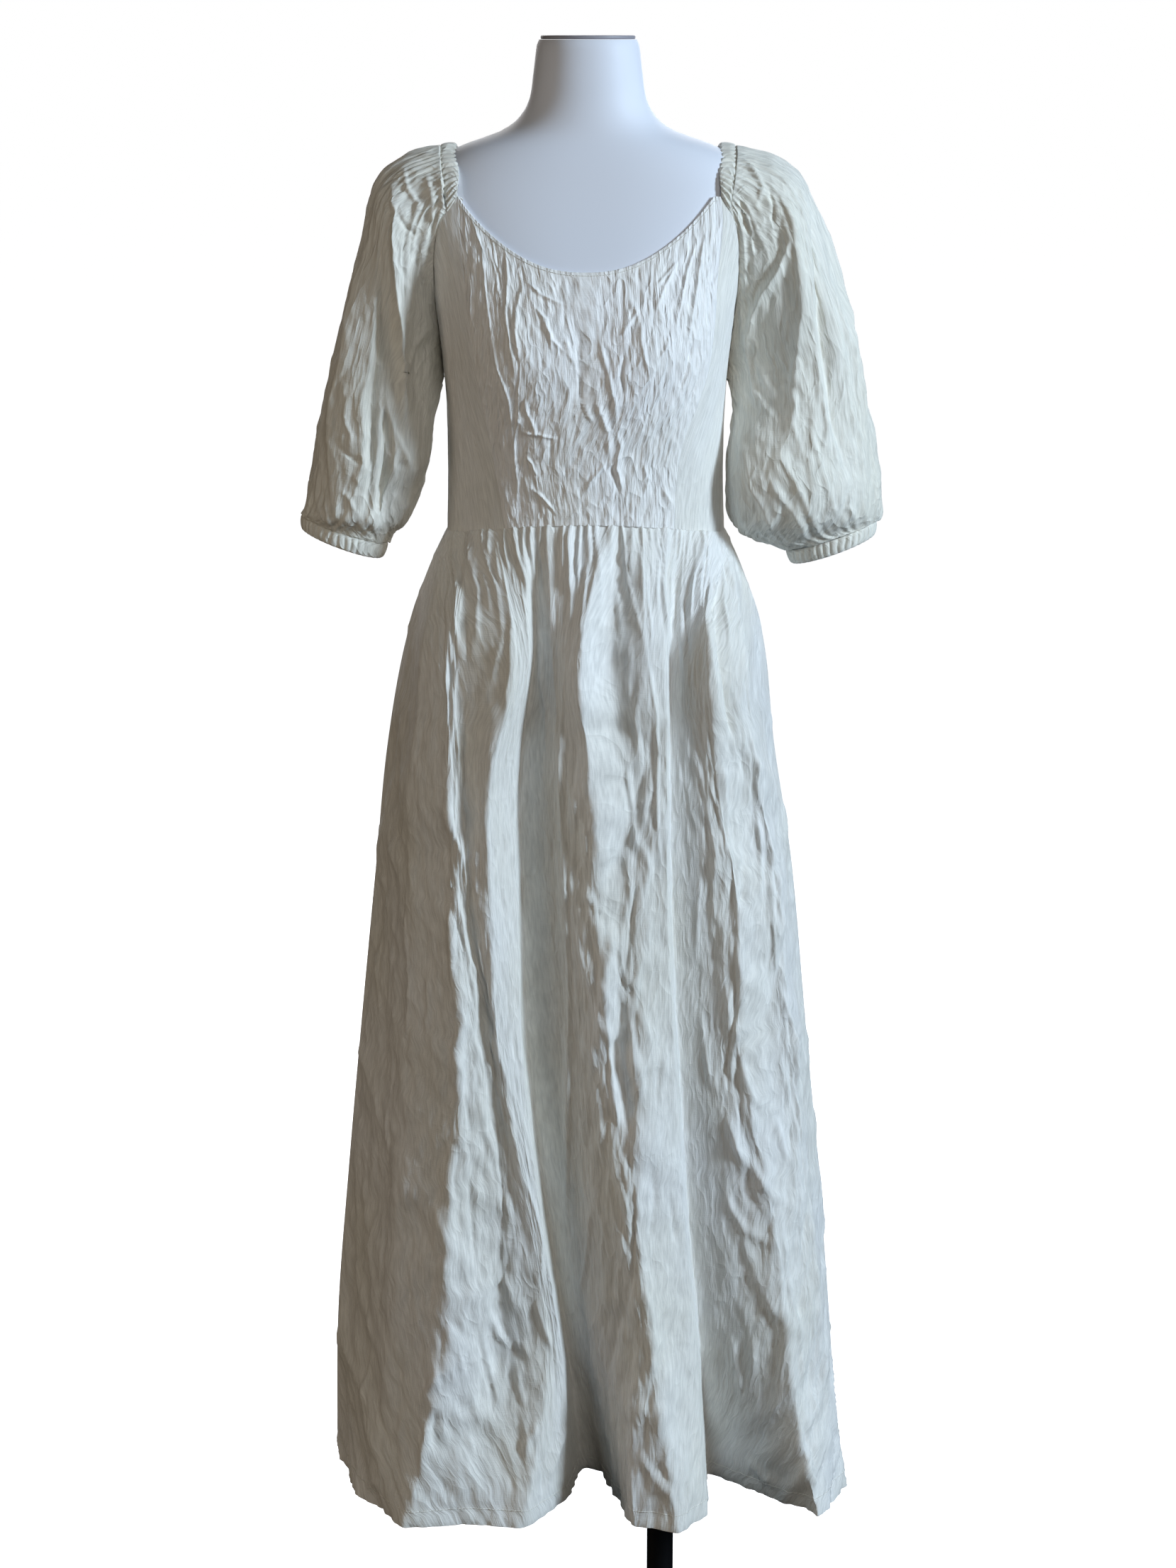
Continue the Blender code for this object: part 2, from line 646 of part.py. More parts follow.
def make_stand():
    form_underside = FORM[0][0]
    hub_top = BASE_THICKNESS + PIECE_GAP + HUB_HEIGHT
    collar_low = form_underside - PIECE_GAP - COLLAR_HEIGHT
    make_round("base", BASE_RADIUS, 0.0, BASE_THICKNESS, BASE_EDGE)
    make_round("hub", HUB_RADIUS, BASE_THICKNESS + PIECE_GAP, hub_top, HUB_EDGE)
    make_round("pole", POLE_RADIUS, hub_top + PIECE_GAP, collar_low - PIECE_GAP, POLE_EDGE)
    make_round("collar", COLLAR_RADIUS, collar_low, form_underside - PIECE_GAP, HUB_EDGE)


def main():
    clear_scene()
    collection = bpy.data.collections.new(NAME)
    bpy.context.scene.collection.children.link(collection)
    make_bodice_front()
    make_bodice_side("bodice_side_front_left", -1)
    make_bodice_side("bodice_side_front_right", 1)
    make_bodice_back()
    make_skirt_panel("skirt_front", FRONT_FOLDS, 0.0)
    make_skirt_panel("skirt_back", BACK_FOLDS, math.pi)
    make_sleeve("sleeve_left", -1)
    make_sleeve("sleeve_right", 1)
    make_neck_casing("neck_casing_left", -1)
    make_neck_casing("neck_casing_right", 1)
    make_cuff("cuff_left", -1)
    make_cuff("cuff_right", 1)
    make_form()
    make_neck_cap()
    make_stand()


main()
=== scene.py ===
"""The looks of a peasant dress in crinkled gauze, worn on a white dress form with a pole stand.

Metres, +Z up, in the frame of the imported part. The dress faces -Y. "Left" and "right" are the viewer's.
Every piece of cloth is a fine grid close to the form of its solid. Gathers, creases and crinkle stand out
from it, and its edges are turned in. Round the body an angle of 0 is the left side seam, and 90 degrees is
the front centre.
"""

import math

import bmesh
import bpy
import numpy as np
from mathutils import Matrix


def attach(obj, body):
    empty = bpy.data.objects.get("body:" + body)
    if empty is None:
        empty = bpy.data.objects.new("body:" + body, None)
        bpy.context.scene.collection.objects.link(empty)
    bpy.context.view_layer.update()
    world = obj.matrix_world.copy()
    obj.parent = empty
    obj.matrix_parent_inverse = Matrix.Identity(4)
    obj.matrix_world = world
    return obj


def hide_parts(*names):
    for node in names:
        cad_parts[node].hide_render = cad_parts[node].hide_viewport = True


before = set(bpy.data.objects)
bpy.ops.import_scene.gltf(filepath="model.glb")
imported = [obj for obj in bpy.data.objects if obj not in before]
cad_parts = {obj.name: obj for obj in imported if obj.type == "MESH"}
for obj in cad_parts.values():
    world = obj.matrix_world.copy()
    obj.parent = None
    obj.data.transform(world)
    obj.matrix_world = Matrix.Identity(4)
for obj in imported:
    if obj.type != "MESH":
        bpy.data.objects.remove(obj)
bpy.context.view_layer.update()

# Sizes of the dress, the form and the stand
SEAM_GAP = 0.0003
BACK_SQUARENESS = 2.15
BODICE_SHIFT = -0.0022
WAIST_SIDE_Z = 1.2345
WAIST_FRONT_RISE = 0.0185
WAIST_BACK_RISE = 0.006
HEM_Z = 0.268
UNDERARM_Z = 1.381
CORNER_Z = 1.554
NECK_LOW_Z = 1.487
BACK_CORNER_Z = 1.562
BACK_LOW_Z = 1.530
FRONT_NECKLINE_POWER = 1.70
BACK_NECKLINE_POWER = 2.3
RAGLAN_POWER = 1.67
BACK_CORNER_ANGLE = 44.0
BACK_FOOT_ANGLE = 50.0
CASING_SHARE = 0.08
CASING_EDGE = (0.1245, 1.6004)
SEAM_TURN = math.radians(0.13)
SKIRT_PUFF = 0.004
SKIRT_GIRTH = (0.18, 0.14)
POLE_X = 0.0757
POLE_RADIUS = 0.0138
BASE_RADIUS = 0.170
BASE_THICKNESS = 0.008
HUB_RADIUS = 0.026
HUB_HEIGHT = 0.045
COLLAR_RADIUS = 0.023
COLLAR_HEIGHT = 0.035
PIECE_GAP = 0.0003
NECK_CAP_HEIGHT = 0.0035

# How far the cap's rim lies inside the neck's, how rounded the turned pieces' edges are, and how many sides
# stand for their round
NECK_CAP_INSET = 0.0015
NECK_CAP_EDGE = 0.0012
BASE_EDGE = 0.003
HUB_EDGE = 0.002
POLE_EDGE = 0.001
TURNED_SEGMENTS = 128

# Columns and rows of each grid
SKIRT_FRONT_GRID = (460, 194)
SKIRT_BACK_GRID = (320, 190)
BODICE_FRONT_GRID = (250, 280)
BODICE_SIDE_GRID = (70, 180)
SLEEVE_GRID = (220, 200)
FORM_GRID = (129, 160)
BODICE_BACK_ROWS = 170
RAGLAN_COLUMNS = 60
BACK_NECK_COLUMNS = 110
CASING_COLUMNS = 280
CUFF_COLUMNS = 330

# The studio: lights as name, place, target, size, watts and colour
WHITE = (1.0, 1.0, 1.0, 1.0)
FLOOR_REACH = 40.0
FLOOR_Z = -0.0005
CAMERA_DISTANCE = 3.0
CAMERA_HEIGHT = 1.70
CAMERA_PITCH = 13.52
CAMERA_LENS = 71.46
CAMERA_SENSOR = 36.0
LIGHTS = (
    ("key", (4.2, -2.3, 2.9), (0.0, 0.0, 1.1), (1.0, 1.6), 248.0, (0.70, 0.855, 1.0)),
    ("fill", (-3.2, -1.0, 0.8), (0.0, 0.0, 0.9), (1.6, 2.0), 20.0, (1.0, 0.84, 0.66)),
    ("front", (0.9, -3.4, 2.6), (0.0, 0.0, 1.2), (1.6, 1.6), 27.0, (1.0, 0.95, 0.86)),
    ("back", (0.0, 3.0, 2.4), (0.0, 0.0, 1.0), (3.0, 2.5), 80.0, (1.0, 1.0, 1.0)),
)

# Cloth edges and their stitches: how high a stitch lies, its radius, its pointed tip, and the share of the
# pitch that it reaches to each side of its middle
EDGE_RADIUS = 0.0008
ALLOWANCE = 0.005
HEM_DEPTH = 0.014
HEM_STITCH_PITCH = 0.0032
NECK_STITCH_PITCH = 0.0028
NECK_STITCH_ROW = 3
STITCH_LIFT = 0.00025
STITCH_RADIUS = 0.00028
STITCH_TIP = 0.0004
STITCH_SHARE = 0.36
STITCH_SIDES = 6

# Small puckers along the hem, up to its stitches, and the groove that the stitches pull
PUCKER_PITCH = 0.017
PUCKER_HEIGHT = 0.0006
HEM_GROOVE_DEPTH = 0.0008
HEM_GROOVE_REACH = 0.0022

# How many gathers a seam has and how high they are. The front skirt has its larger ones in a table below
WAIST_GATHERS = 84
FRONT_GATHER_HEIGHT = 0.0012
BACK_GATHER_HEIGHT = 0.0040
NECK_GATHERS = 34
NECK_GATHER_HEIGHT = 0.0030
CUFF_GATHERS = 38
CUFF_GATHER_HEIGHT = 0.0028
NECK_RUCHES = 24

# The bodice: height, half width, depth of the front, depth of the back, squareness of the front
BODICE = (
    (1.225, 0.1345, 0.1020, 0.0960, 2.15),
    (1.300, 0.1325, 0.1075, 0.0980, 2.30),
    (1.360, 0.1335, 0.1185, 0.1010, 2.50),
    (1.410, 0.1375, 0.1235, 0.1060, 2.65),
    (1.450, 0.1430, 0.1155, 0.1100, 2.80),
    (1.487, 0.1498, 0.0990, 0.1100, 2.85),
    (1.530, 0.1606, 0.0820, 0.1075, 2.80),
    (1.570, 0.1645, 0.0720, 0.1010, 2.60),
)
# The bust under the cloth: how far it stands out and the hollow between, half their distance, their height
# above the floor, and their reach across and up
BUST = (0.0045, 0.0045, 0.068, 1.412, 0.034, 0.048)

# The princess seams: share of the way up, then the left and the right seam's angle from its own side
PRINCESS = (
    (0.00, 57.4, 53.4),
    (0.25, 51.8, 50.7),
    (0.52, 46.2, 36.0),
    (0.80, 48.0, 40.9),
    (1.00, 49.0, 45.2),
)

# The form, in the same columns
FORM = (
    (0.905, 0.118, 0.066, 0.076, 2.15),
    (0.915, 0.142, 0.084, 0.094, 2.15),
    (0.940, 0.158, 0.097, 0.108, 2.15),
    (0.985, 0.167, 0.104, 0.115, 2.15),
    (1.040, 0.168, 0.105, 0.116, 2.15),
    (1.100, 0.157, 0.098, 0.108, 2.15),
    (1.165, 0.135, 0.088, 0.091, 2.15),
    (1.235, 0.116, 0.084, 0.080, 2.17),
    (1.300, 0.120, 0.092, 0.084, 2.30),
    (1.360, 0.127, 0.105, 0.090, 2.50),
    (1.410, 0.131, 0.11, 0.096, 2.65),
    (1.455, 0.137, 0.103, 0.101, 2.81),
    (1.490, 0.146, 0.0945, 0.105, 2.85),
    (1.530, 0.158, 0.0785, 0.104, 2.80),
    (1.560, 0.160, 0.0685, 0.096, 2.65),
    (1.582, 0.146, 0.062, 0.084, 2.50),
    (1.596, 0.127, 0.057, 0.073, 2.38),
    (1.604, 0.107, 0.054, 0.066, 2.31),
    (1.611, 0.086, 0.052, 0.060, 2.24),
    (1.622, 0.068, 0.050, 0.055, 2.15),
    (1.640, 0.0560, 0.048, 0.051, 2.15),
    (1.665, 0.0515, 0.047, 0.048, 2.15),
    (1.692, 0.0480, 0.045, 0.046, 2.15),
    (1.6965, 0.0460, 0.043, 0.044, 2.15),
)

# The skirt's folds, round the body from the left side seam for the front and from the right one for the
# back: each crest or valley's place (across, back) in millimetres at every level
FOLD_LEVELS = (1.13, 1.02, 0.90, 0.74, 0.58, 0.42, HEM_Z)
SKIRT_LEFT_EDGE = ((-177, 0), (-198, 0), (-211, 0), (-228, 0), (-244, 0), (-258, 0), (-262, 0))
SKIRT_RIGHT_EDGE = ((171, 0), (184, 0), (203, 0), (219, 0), (235, 0), (249, 0), (260, 0))
FRONT_FOLDS = {
    "left side": SKIRT_LEFT_EDGE,
    "left flank":
        ((-157, -102), (-168, -105), (-174, -109), (-176, -117), (-188, -126), (-200, -131), (-226, -126)),
    "wide fold, outer crest":
        ((-134, -126), (-132, -139), (-131, -146), (-124, -156), (-136, -164), (-146, -172), (-182, -184)),
    "wide fold, its dip":
        ((-122, -126), (-118, -133), (-113, -141), (-93, -141), (-85, -136), (-93, -140), (-118, -176)),
    "wide fold, inner crest":
        ((-69, -148), (-92, -153), (-94, -154), (-85, -149), (-58, -145), (-42, -145), (-62, -186)),
    "wide fold, lip over the valley":
        ((-54, -137), (-68, -131), (-67, -129), (-63, -135), (-46, -140), (-24, -136), (-19, -118)),
    "centre valley, foot of the lip":
        ((-51, -116), (-65, -115), (-64, -114), (-60, -113), (-43, -108), (-21, -100), (-7, -52)),
    "centre valley": ((-37, -131), (-42, -129), (-39, -129), (-28, -127), (-20, -122), (-9, -110), (14, -58)),
    "middle fold, left crest":
        ((-6, -156), (4, -155), (9, -154), (19, -156), (32, -157), (39, -160), (42, -186)),
    "middle fold, its dip":
        ((19, -127), (31, -134), (32, -144), (30, -151), (39, -161), (50, -166), (60, -184)),
    "middle fold, right crest":
        ((50, -140), (51, -138), (44, -146), (51, -157), (48, -165), (67, -172), (88, -198)),
    "middle fold, sharp edge":
        ((74, -130), (75, -138), (77, -139), (85, -136), (95, -135), (109, -135), (119, -160)),
    "right valley, foot of the edge":
        ((77, -112), (78, -119), (80, -119), (88, -119), (98, -114), (112, -105), (122, -62)),
    "right valley":
        ((96, -123), (101, -126), (113, -125), (121, -125), (133, -124), (150, -121), (174, -108)),
    "right fold, crest":
        ((113, -137), (122, -133), (144, -132), (149, -133), (182, -133), (200, -136), (229, -162)),
    "right fold, its dip":
        ((129, -125), (145, -113), (166, -111), (184, -111), (207, -114), (217, -116), (243, -136)),
    "right shoulder":
        ((150, -110), (166, -108), (185, -104), (203, -102), (221, -100), (236, -98), (261, -90)),
    "right side": SKIRT_RIGHT_EDGE,
}
BACK_FOLDS = {
    "right side": SKIRT_RIGHT_EDGE,
    "right back shoulder": ((156, 82), (168, 84), (184, 88), (202, 90), (218, 93), (232, 97), (245, 100)),
    "right back fold": ((116, 130), (132, 140), (144, 148), (158, 158), (170, 166), (182, 175), (192, 182)),
    "right back fold, its lip":
        ((96, 132), (108, 134), (118, 138), (128, 144), (138, 150), (146, 154), (154, 156)),
    "right back valley": ((84, 120), (94, 122), (100, 118), (106, 112), (112, 106), (118, 96), (124, 86)),
    "middle back fold, right crest":
        ((46, 144), (51, 155), (56, 164), (62, 174), (68, 182), (73, 190), (76, 196)),
    "middle back fold, left crest":
        ((18, 144), (20, 152), (19, 164), (20, 176), (20, 184), (19, 192), (18, 198)),
    "middle back fold, its lip": ((4, 132), (2, 138), (0, 146), (-2, 152), (-4, 156), (-6, 158), (-8, 158)),
    "middle back valley": ((-8, 122), (-14, 126), (-16, 122), (-20, 116), (-24, 108), (-28, 96), (-32, 84)),
    "left back fold, inner crest":
        ((-52, 142), (-57, 154), (-61, 164), (-66, 175), (-70, 182), (-75, 188), (-78, 192)),
    "left back valley":
        ((-86, 126), (-92, 130), (-98, 130), (-106, 129), (-114, 127), (-122, 120), (-130, 112)),
    "left back fold, outer crest":
        ((-124, 124), (-138, 132), (-152, 139), (-168, 146), (-182, 153), (-195, 161), (-206, 168)),
    "left back shoulder":
        ((-162, 74), (-178, 76), (-192, 78), (-208, 80), (-224, 84), (-238, 89), (-248, 94)),
    "left side": SKIRT_LEFT_EDGE,
}
FOLD_SOFTNESS = 0.005
# Between the top level and the seam: how far down, how much of the folds is left, and what counts as a fold
FOLD_HEAD = 0.40
FOLD_HEAD_SHARE = 0.80
FOLD_HEAD_REACH = 0.040

# Gathers under the front waist seam, in millimetres: width to the left and the right of the crest and height,
# then for each gather its place at the head and at the foot, how far its middle swings right, and its top
# and bottom below the seam
FRONT_GATHERS = (
    (2.4, 3.0, 2.0, (
        (-175, -170, 1, 20, 40), (-160, -156, 3, 20, 65), (-125, -121, 0, 0, 25), (-108, -112, 3, 35, 85),
        (-87, -92, 0, 20, 60), (-79, -79, 0, 0, 45), (-43, -48, 0, 0, 70), (-21, -25, 0, 0, 50),
        (-13, -14, 0, 0, 25), (-9, -11, 0, 30, 50), (-5, -12, 0, 0, 70), (61, 72, 0, 30, 115),
        (61, 64, 0, 0, 25), (69, 70, 0, 0, 25), (89, 99, -4, 0, 90), (104, 105, 0, 0, 30),
        (123, 122, 0, 0, 30), (122, 120, 0, 30, 50), (128, 131, -2, 0, 85), (129, 130, 0, 35, 55),
        (165, 156, 0, 15, 55),
    )),
    (2.6, 2.6, 3.0, (
        (-103, -110, 10, 0, 120), (22, 31, -2, 0, 75), (34, 66, -3, 0, 115), (119, 121, -4, 0, 90),
    )),
    (2.8, 4.0, 2.8, (
        (-119, -140, 12, 0, 120), (-95, -96, 0, 0, 25), (-59, -64, 0, 0, 50), (-52, -58, 0, 0, 60),
        (-15, -20, 0, 0, 100), (0, -8, 0, 30, 110), (2, 3, 0, 0, 45), (9, 24, -5, 0, 120),
        (25, 26, 0, 0, 25), (44, 48, 0, 0, 50), (53, 63, 0, 0, 75), (75, 77, -2, 0, 90), (93, 98, 0, 0, 35),
        (163, 153, -17, 0, 125), (152, 172, -7, 35, 130),
    )),
    (3.2, 6.5, 3.8, (
        (-145, -161, 14, 0, 120), (-69, -70, 3, 0, 70), (-36, -41, 0, 0, 115), (78, 90, -3, 0, 115),
    )),
)

# Creases of the front skirt, in millimetres: width to the left and the right of the crest and height, below
# nought for a groove, then lines of places, each across from the skirt's middle and down from the waist seam
FRONT_CREASES = (
    (16, 5, 5, ((120, 10, 122, 40, 130, 85),)),
    (13, 7, 4.5, ((-17, 8, -18, 70),)),
    (8, 4, 3, ((42, 6, 44, 40),)),
    (3, 15, -6, ((150, 30, 142, 80, 152, 115, 165, 150, 173, 190, 173, 230),)),
    (9, 4, 3.2, ((132, 40, 136, 95, 150, 135, 163, 175), (-23, 105, -14, 455, -17, 630, -25, 775))),
    (4, 6, -3, ((112, 65, 116, 95, 127, 130), (96, 35, 99, 70, 106, 105))),
    (3.5, 3.5, -2, (
        (180, 105, 190, 120, 210, 135), (192, 155, 200, 200), (5, 85, -10, 115),
        (-136, 80, -147, 115, -150, 135),
    )),
    (5, 3.5, 2.6, (
        (188, 15, 200, 65), (-106, 110, -119, 130, -123, 150), (-90, 85, -102, 120, -107, 165, -102, 185),
        (30, 50, 38, 75, 43, 110), (50, 105, 52, 145, 57, 175),
        (64, 105, 80, 175, 83, 215, 79, 310, 81, 340),
    )),
    (4.5, 4.5, -2.2, (
        (96, 15, 110, 105, 120, 145), (153, 25, 157, 50, 167, 75), (-166, 130, -165, 165),
        (-156, 15, -155, 60, -174, 125, -178, 185), (-268, 220, -270, 320, -252, 390),
        (83, 515, 81, 540, 77, 565), (-148, 547, -144, 565, -140, 610), (-123, 430, -117, 475, -115, 510),
    )),
    (5, 4.5, 2.4, (
        (238, 95, 257, 115, 277, 135), (-56, 100, -53, 140, -40, 175, -36, 215), (-7, 140, 6, 210),
        (-40, 105, -35, 140, -26, 180, -26, 215), (-161, 280, -150, 305, -148, 335),
        (-220, 360, -221, 420, -212, 455, -216, 500, -235, 525), (-258, 385, -268, 480),
        (-300, 405, -298, 455, -282, 503), (-245, 500, -262, 605, -255, 680),
        (207, 230, 202, 260, 204, 287), (-188, 440, -185, 470, -191, 505),
    )),
    (4.5, 5.5, 3.1, (
        (53, 225, 58, 270, 56, 293), (-158, 360, -153, 455), (-148, 360, -136, 440), (49, 470, 56, 540),
        (-136, 440, -140, 465, -156, 510, -143, 547), (-3, 384, 0, 420, 8, 442, 10, 463),
    )),
    (6, 5.5, 2, ((147, 297, 151, 320, 146, 360), (135, 335, 129, 425), (134, 455, 151, 560))),
    (5.5, 5.5, 3, (
        (64, 145, 61, 180, 67, 230), (63, 300, 70, 330, 62, 355), (21, 457, 29, 497, 42, 612),
        (160, 225, 170, 310, 169, 387), (202, 295, 205, 330, 202, 360, 190, 378),
        (219, 460, 239, 520, 253, 600), (11, 665, 0, 740, -13, 790),
        (-92, 640, -82, 675, -75, 713, -77, 750, -82, 775), (231, 690, 250, 800, 276, 862, 305, 906),
    )),
    (5.5, 5.5, -3, (
        (168, 155, 177, 220), (-163, 350, -155, 356, -147, 340), (8, 365, 20, 380, 32, 382),
        (34, 402, 39, 428, 49, 449), (43, 448, 39, 498, 49, 596), (56, 346, 50, 380, 47, 413),
        (190, 320, 176, 390), (250, 312, 218, 353, 219, 390, 226, 425), (172, 382, 178, 379, 185, 371),
        (169, 450, 169, 492, 164, 532, 155, 560), (-145, 625, -146, 735), (98, 660, 110, 712),
        (77, 628, 81, 657, 78, 692, 69, 713), (-172, 782, -162, 802, -152, 808),
    )),
    (6.5, 6, 3.5, (
        (3, 350, 14, 373, 27, 380, 37, 394), (14, 442, 23, 436, 31, 410, 29, 390), (220, 600, 238, 650),
        (181, 538, 186, 560, 194, 580, 213, 590), (276, 700, 283, 745, 285, 790),
        (299, 835, 304, 870, 314, 900, 347, 937), (-130, 782, -123, 810, -90, 835),
        (-237, 878, -240, 898, -270, 927, -290, 950), (-100, 912, -170, 968),
        (171, 655, 179, 678, 193, 702, 229, 736), (174, 605, 186, 632, 224, 688),
    )),
    (7, 6.5, 4, (
        (37, 422, 48, 441, 58, 439), (-82, 775, -73, 833), (-142, 802, -141, 835, -145, 862, -157, 888),
        (-110, 837, -122, 863, -129, 889), (-191, 836, -234, 875), (-127, 907, -170, 933),
    )),
    (6.5, 6.5, 3, (
        (166, 582, 186, 632), (-260, 883, -290, 912, -300, 938), (-133, 889, -157, 927, -176, 949),
        (-321, 936, -331, 958, -329, 982), (-342, 946, -374, 967, -428, 988), (-325, 688, -318, 720),
        (-293, 815, -329, 863, -363, 900), (-297, 685, -305, 731, -292, 772),
        (67, 741, 77, 772, 80, 808, 74, 843), (60, 919, 74, 932, 87, 951, 102, 965),
        (191, 812, 203, 844, 229, 888), (213, 815, 231, 888), (334, 961, 378, 991),
        (273, 953, 305, 972, 340, 987),
    )),
    (6.5, 6.5, -3.3, (
        (-124, 791, -102, 842), (-147, 794, -146, 829, -150, 869), (-214, 876, -239, 906, -245, 923),
        (-148, 935, -166, 959, -190, 981), (-262, 636, -266, 680, -267, 753, -288, 800),
        (80, 923, 93, 944, 105, 952), (300, 917, 359, 969), (360, 929, 398, 955, 406, 978),
    )),
)
# The same on the bodice's front, from its middle and down from the neckline
BODICE_CREASES = (
    (3, 3, 1.8, (
        (-130, 0, -115, 22, -112, 60, -102, 118), (-85, 0, -83, 30, -86, 70, -76, 134),
        (-104, 105, -95, 135, -82, 156, -74, 184, -70, 216), (-50, 47, -41, 65, -40, 84),
        (-75, 137, -69, 169, -70, 198, -66, 244, -69, 278), (-15, 118, 0, 144),
        (-65, 183, -48, 170, -28, 162), (-59, 204, -51, 207, -47, 217),
    )),
    (4, 4, 2.1, (
        (-65, 27, -73, 53, -75, 83, -72, 116), (-62, 22, -48, 29, -23, 33), (72, 268, 82, 298),
        (-56, 43, -44, 52, -39, 70, -26, 80), (-28, 60, -19, 92), (4, 58, 23, 149), (89, 22, 62, 31),
        (37, 30, 41, 46, 32, 56, 25, 66), (46, 51, 44, 74, 51, 119), (73, 85, 69, 96, 58, 102),
        (22, 149, 30, 179, 28, 200, 34, 231), (20, 187, 3, 200, -2, 214),
        (-53, 237, -43, 235, -35, 239, -31, 244), (-66, 142, -63, 155, -55, 164, -49, 177),
        (52, 213, 58, 240, 54, 254),
    )),
    (4, 4, -2, (
        (-17, 39, -15, 58, -15, 118, -5, 145), (27, 80, 23, 99, 26, 120), (21, 191, 31, 232),
        (101, 113, 80, 159),
    )),
    (5, 5, 2.4, ((3, 108, 2, 124, 16, 154, 21, 188), (118, 15, 101, 39, 79, 89), (94, 20, 74, 35, 60, 55))),
    (6, 5, 3, ((133, 13, 121, 32, 112, 62, 100, 90, 90, 120),)),
)
# The same on the sleeves, from the outermost line and down from the casing
LEFT_SLEEVE_CREASES = (
    (7, 26, 9, ((34, 48, 67, 59, 81, 84, 86, 114, 92, 170, 100, 190, 110, 213, 124, 246),)),
    (8, 22, 9, ((88, 110, 89, 132, 93, 170, 102, 196, 117, 220, 130, 252),)),
    (8, 34, -11, ((100, 224, 108, 267, 109, 308, 107, 351),)),
    (8, 26, 6.5, ((30, 113, 37, 143, 36, 185, 42, 223, 49, 305, 57, 347, 63, 378),)),
    (8, 28, -8, ((66, 112, 71, 154, 79, 206, 91, 261, 96, 315, 92, 361),)),
    (5, 8, 3.2, ((135, 119, 111, 161, 103, 186, 113, 203),)),
    (4.8, 4.8, 2.4, (
        (153, 234, 150, 261, 160, 287, 115, 341), (131, 304, 95, 357), (64, 0, 86, 2, 111, 29, 134, 61),
        (45, 14, 76, 12, 106, 25), (27, 35, 55, 36, 75, 29, 83, 44), (65, 250, 65, 274, 74, 287, 73, 310),
        (65, 344, 76, 344, 84, 351, 71, 375), (50, 359, 56, 372, 56, 386),
    )),
    (5, 5, -2.2, ((68, 57, 83, 55, 99, 46), (61, 304, 77, 308, 92, 304))),
    (6, 6, 2, ((96, 223, 143, 286),)),
)
RIGHT_SLEEVE_CREASES = (
    (15, 22, 6.2, ((-46, 49, -63, 67, -71, 94, -72, 131, -76, 156, -116, 254, -127, 294),)),
    (8, 26, -8.5, ((-12, 69, -32, 96, -46, 121, -60, 177, -73, 268, -72, 293, -64, 355),)),
    (15, 13, 7, ((-2, 82, -5, 178, -22, 219, -36, 347),)),
    (10, 18, 6.5, ((-73, 71, -77, 85, -95, 96, -116, 101, -130, 114, -145, 171),)),
    (5, 5, 2.8, (
        (-107, 207, -105, 235, -114, 255, -113, 294), (-136, 274, -124, 324, -112, 351, -92, 383),
        (-151, 291, -145, 313, -133, 336, -90, 397), (-101, 266, -96, 331, -88, 359, -73, 382),
        (-66, 353, -70, 368, -56, 388), (-168, 263, -169, 299, -149, 340, -116, 389),
        (-40, 11, -60, 28, -80, 26), (-28, 168, -37, 234), (-141, 120, -140, 158, -145, 220),
    )),
    (5, 5, 2.3, (
        (-61, 48, -66, 83), (-27, 198, -32, 216, -29, 237, -36, 262), (-78, 247, -81, 280, -93, 305),
        (-39, 276, -48, 291, -43, 316, -43, 345),
    )),
    (4.5, 4.5, -2.4, ((-80, 10, -96, 22, -108, 46, -111, 62), (-56, 33, -70, 45, -85, 56))),
    (6, 6, 2.1, ((-136, 158, -128, 188, -126, 212), (-143, 187, -139, 215, -128, 237))),
)

# Cells after which the random patterns repeat
LATTICE = 97
# How crumpled the skirt is at each fold, in the order of the folds
FRONT_CRUMPLED = (
    0.9, 0.8, 0.9, 1.0, 0.25, 0.12, 0.05, 0.15, 0.9, 1.0, 0.9, 0.25, 0.12, 0.3, 1.0, 1.0, 0.9, 0.8,
)
BACK_CRUMPLED = (0.5, 0.8, 1.0, 0.3, 0.1, 0.9, 0.9, 0.3, 0.1, 0.9, 0.2, 1.0, 0.8, 0.45)
# Layers of crumpling: height where the cloth is smooth and what full crumpling adds, width and length of a
# facet, and the layer's seed
SKIRT_CRUMPLES = (
    (0.0, 0.0085, 0.040, 0.100, 10),
    (0.0005, 0.0034, 0.016, 0.045, 50),
    (0.0004, 0.0016, 0.0075, 0.024, 90),
)
BODICE_FRONT_CRUMPLES = (
    (0.0013, 0.0, 0.030, 0.070, 1),
    (0.0013, 0.0, 0.012, 0.034, 50),
    (0.0010, 0.0, 0.0055, 0.022, 90),
)
BODICE_SIDE_CRUMPLES = ((0.0009, 0.0, 0.020, 0.07, 5), (0.0004, 0.0, 0.006, 0.03, 40))
BODICE_BACK_CRUMPLES = ((0.0024, 0.0, 0.030, 0.09, 8), (0.0010, 0.0, 0.010, 0.03, 48))
SLEEVE_CRUMPLES = (
    (0.0028, 0.0, 0.046, 0.110, 2),
    (0.0019, 0.0, 0.017, 0.040, 42),
    (0.0012, 0.0, 0.0075, 0.020, 82),
)

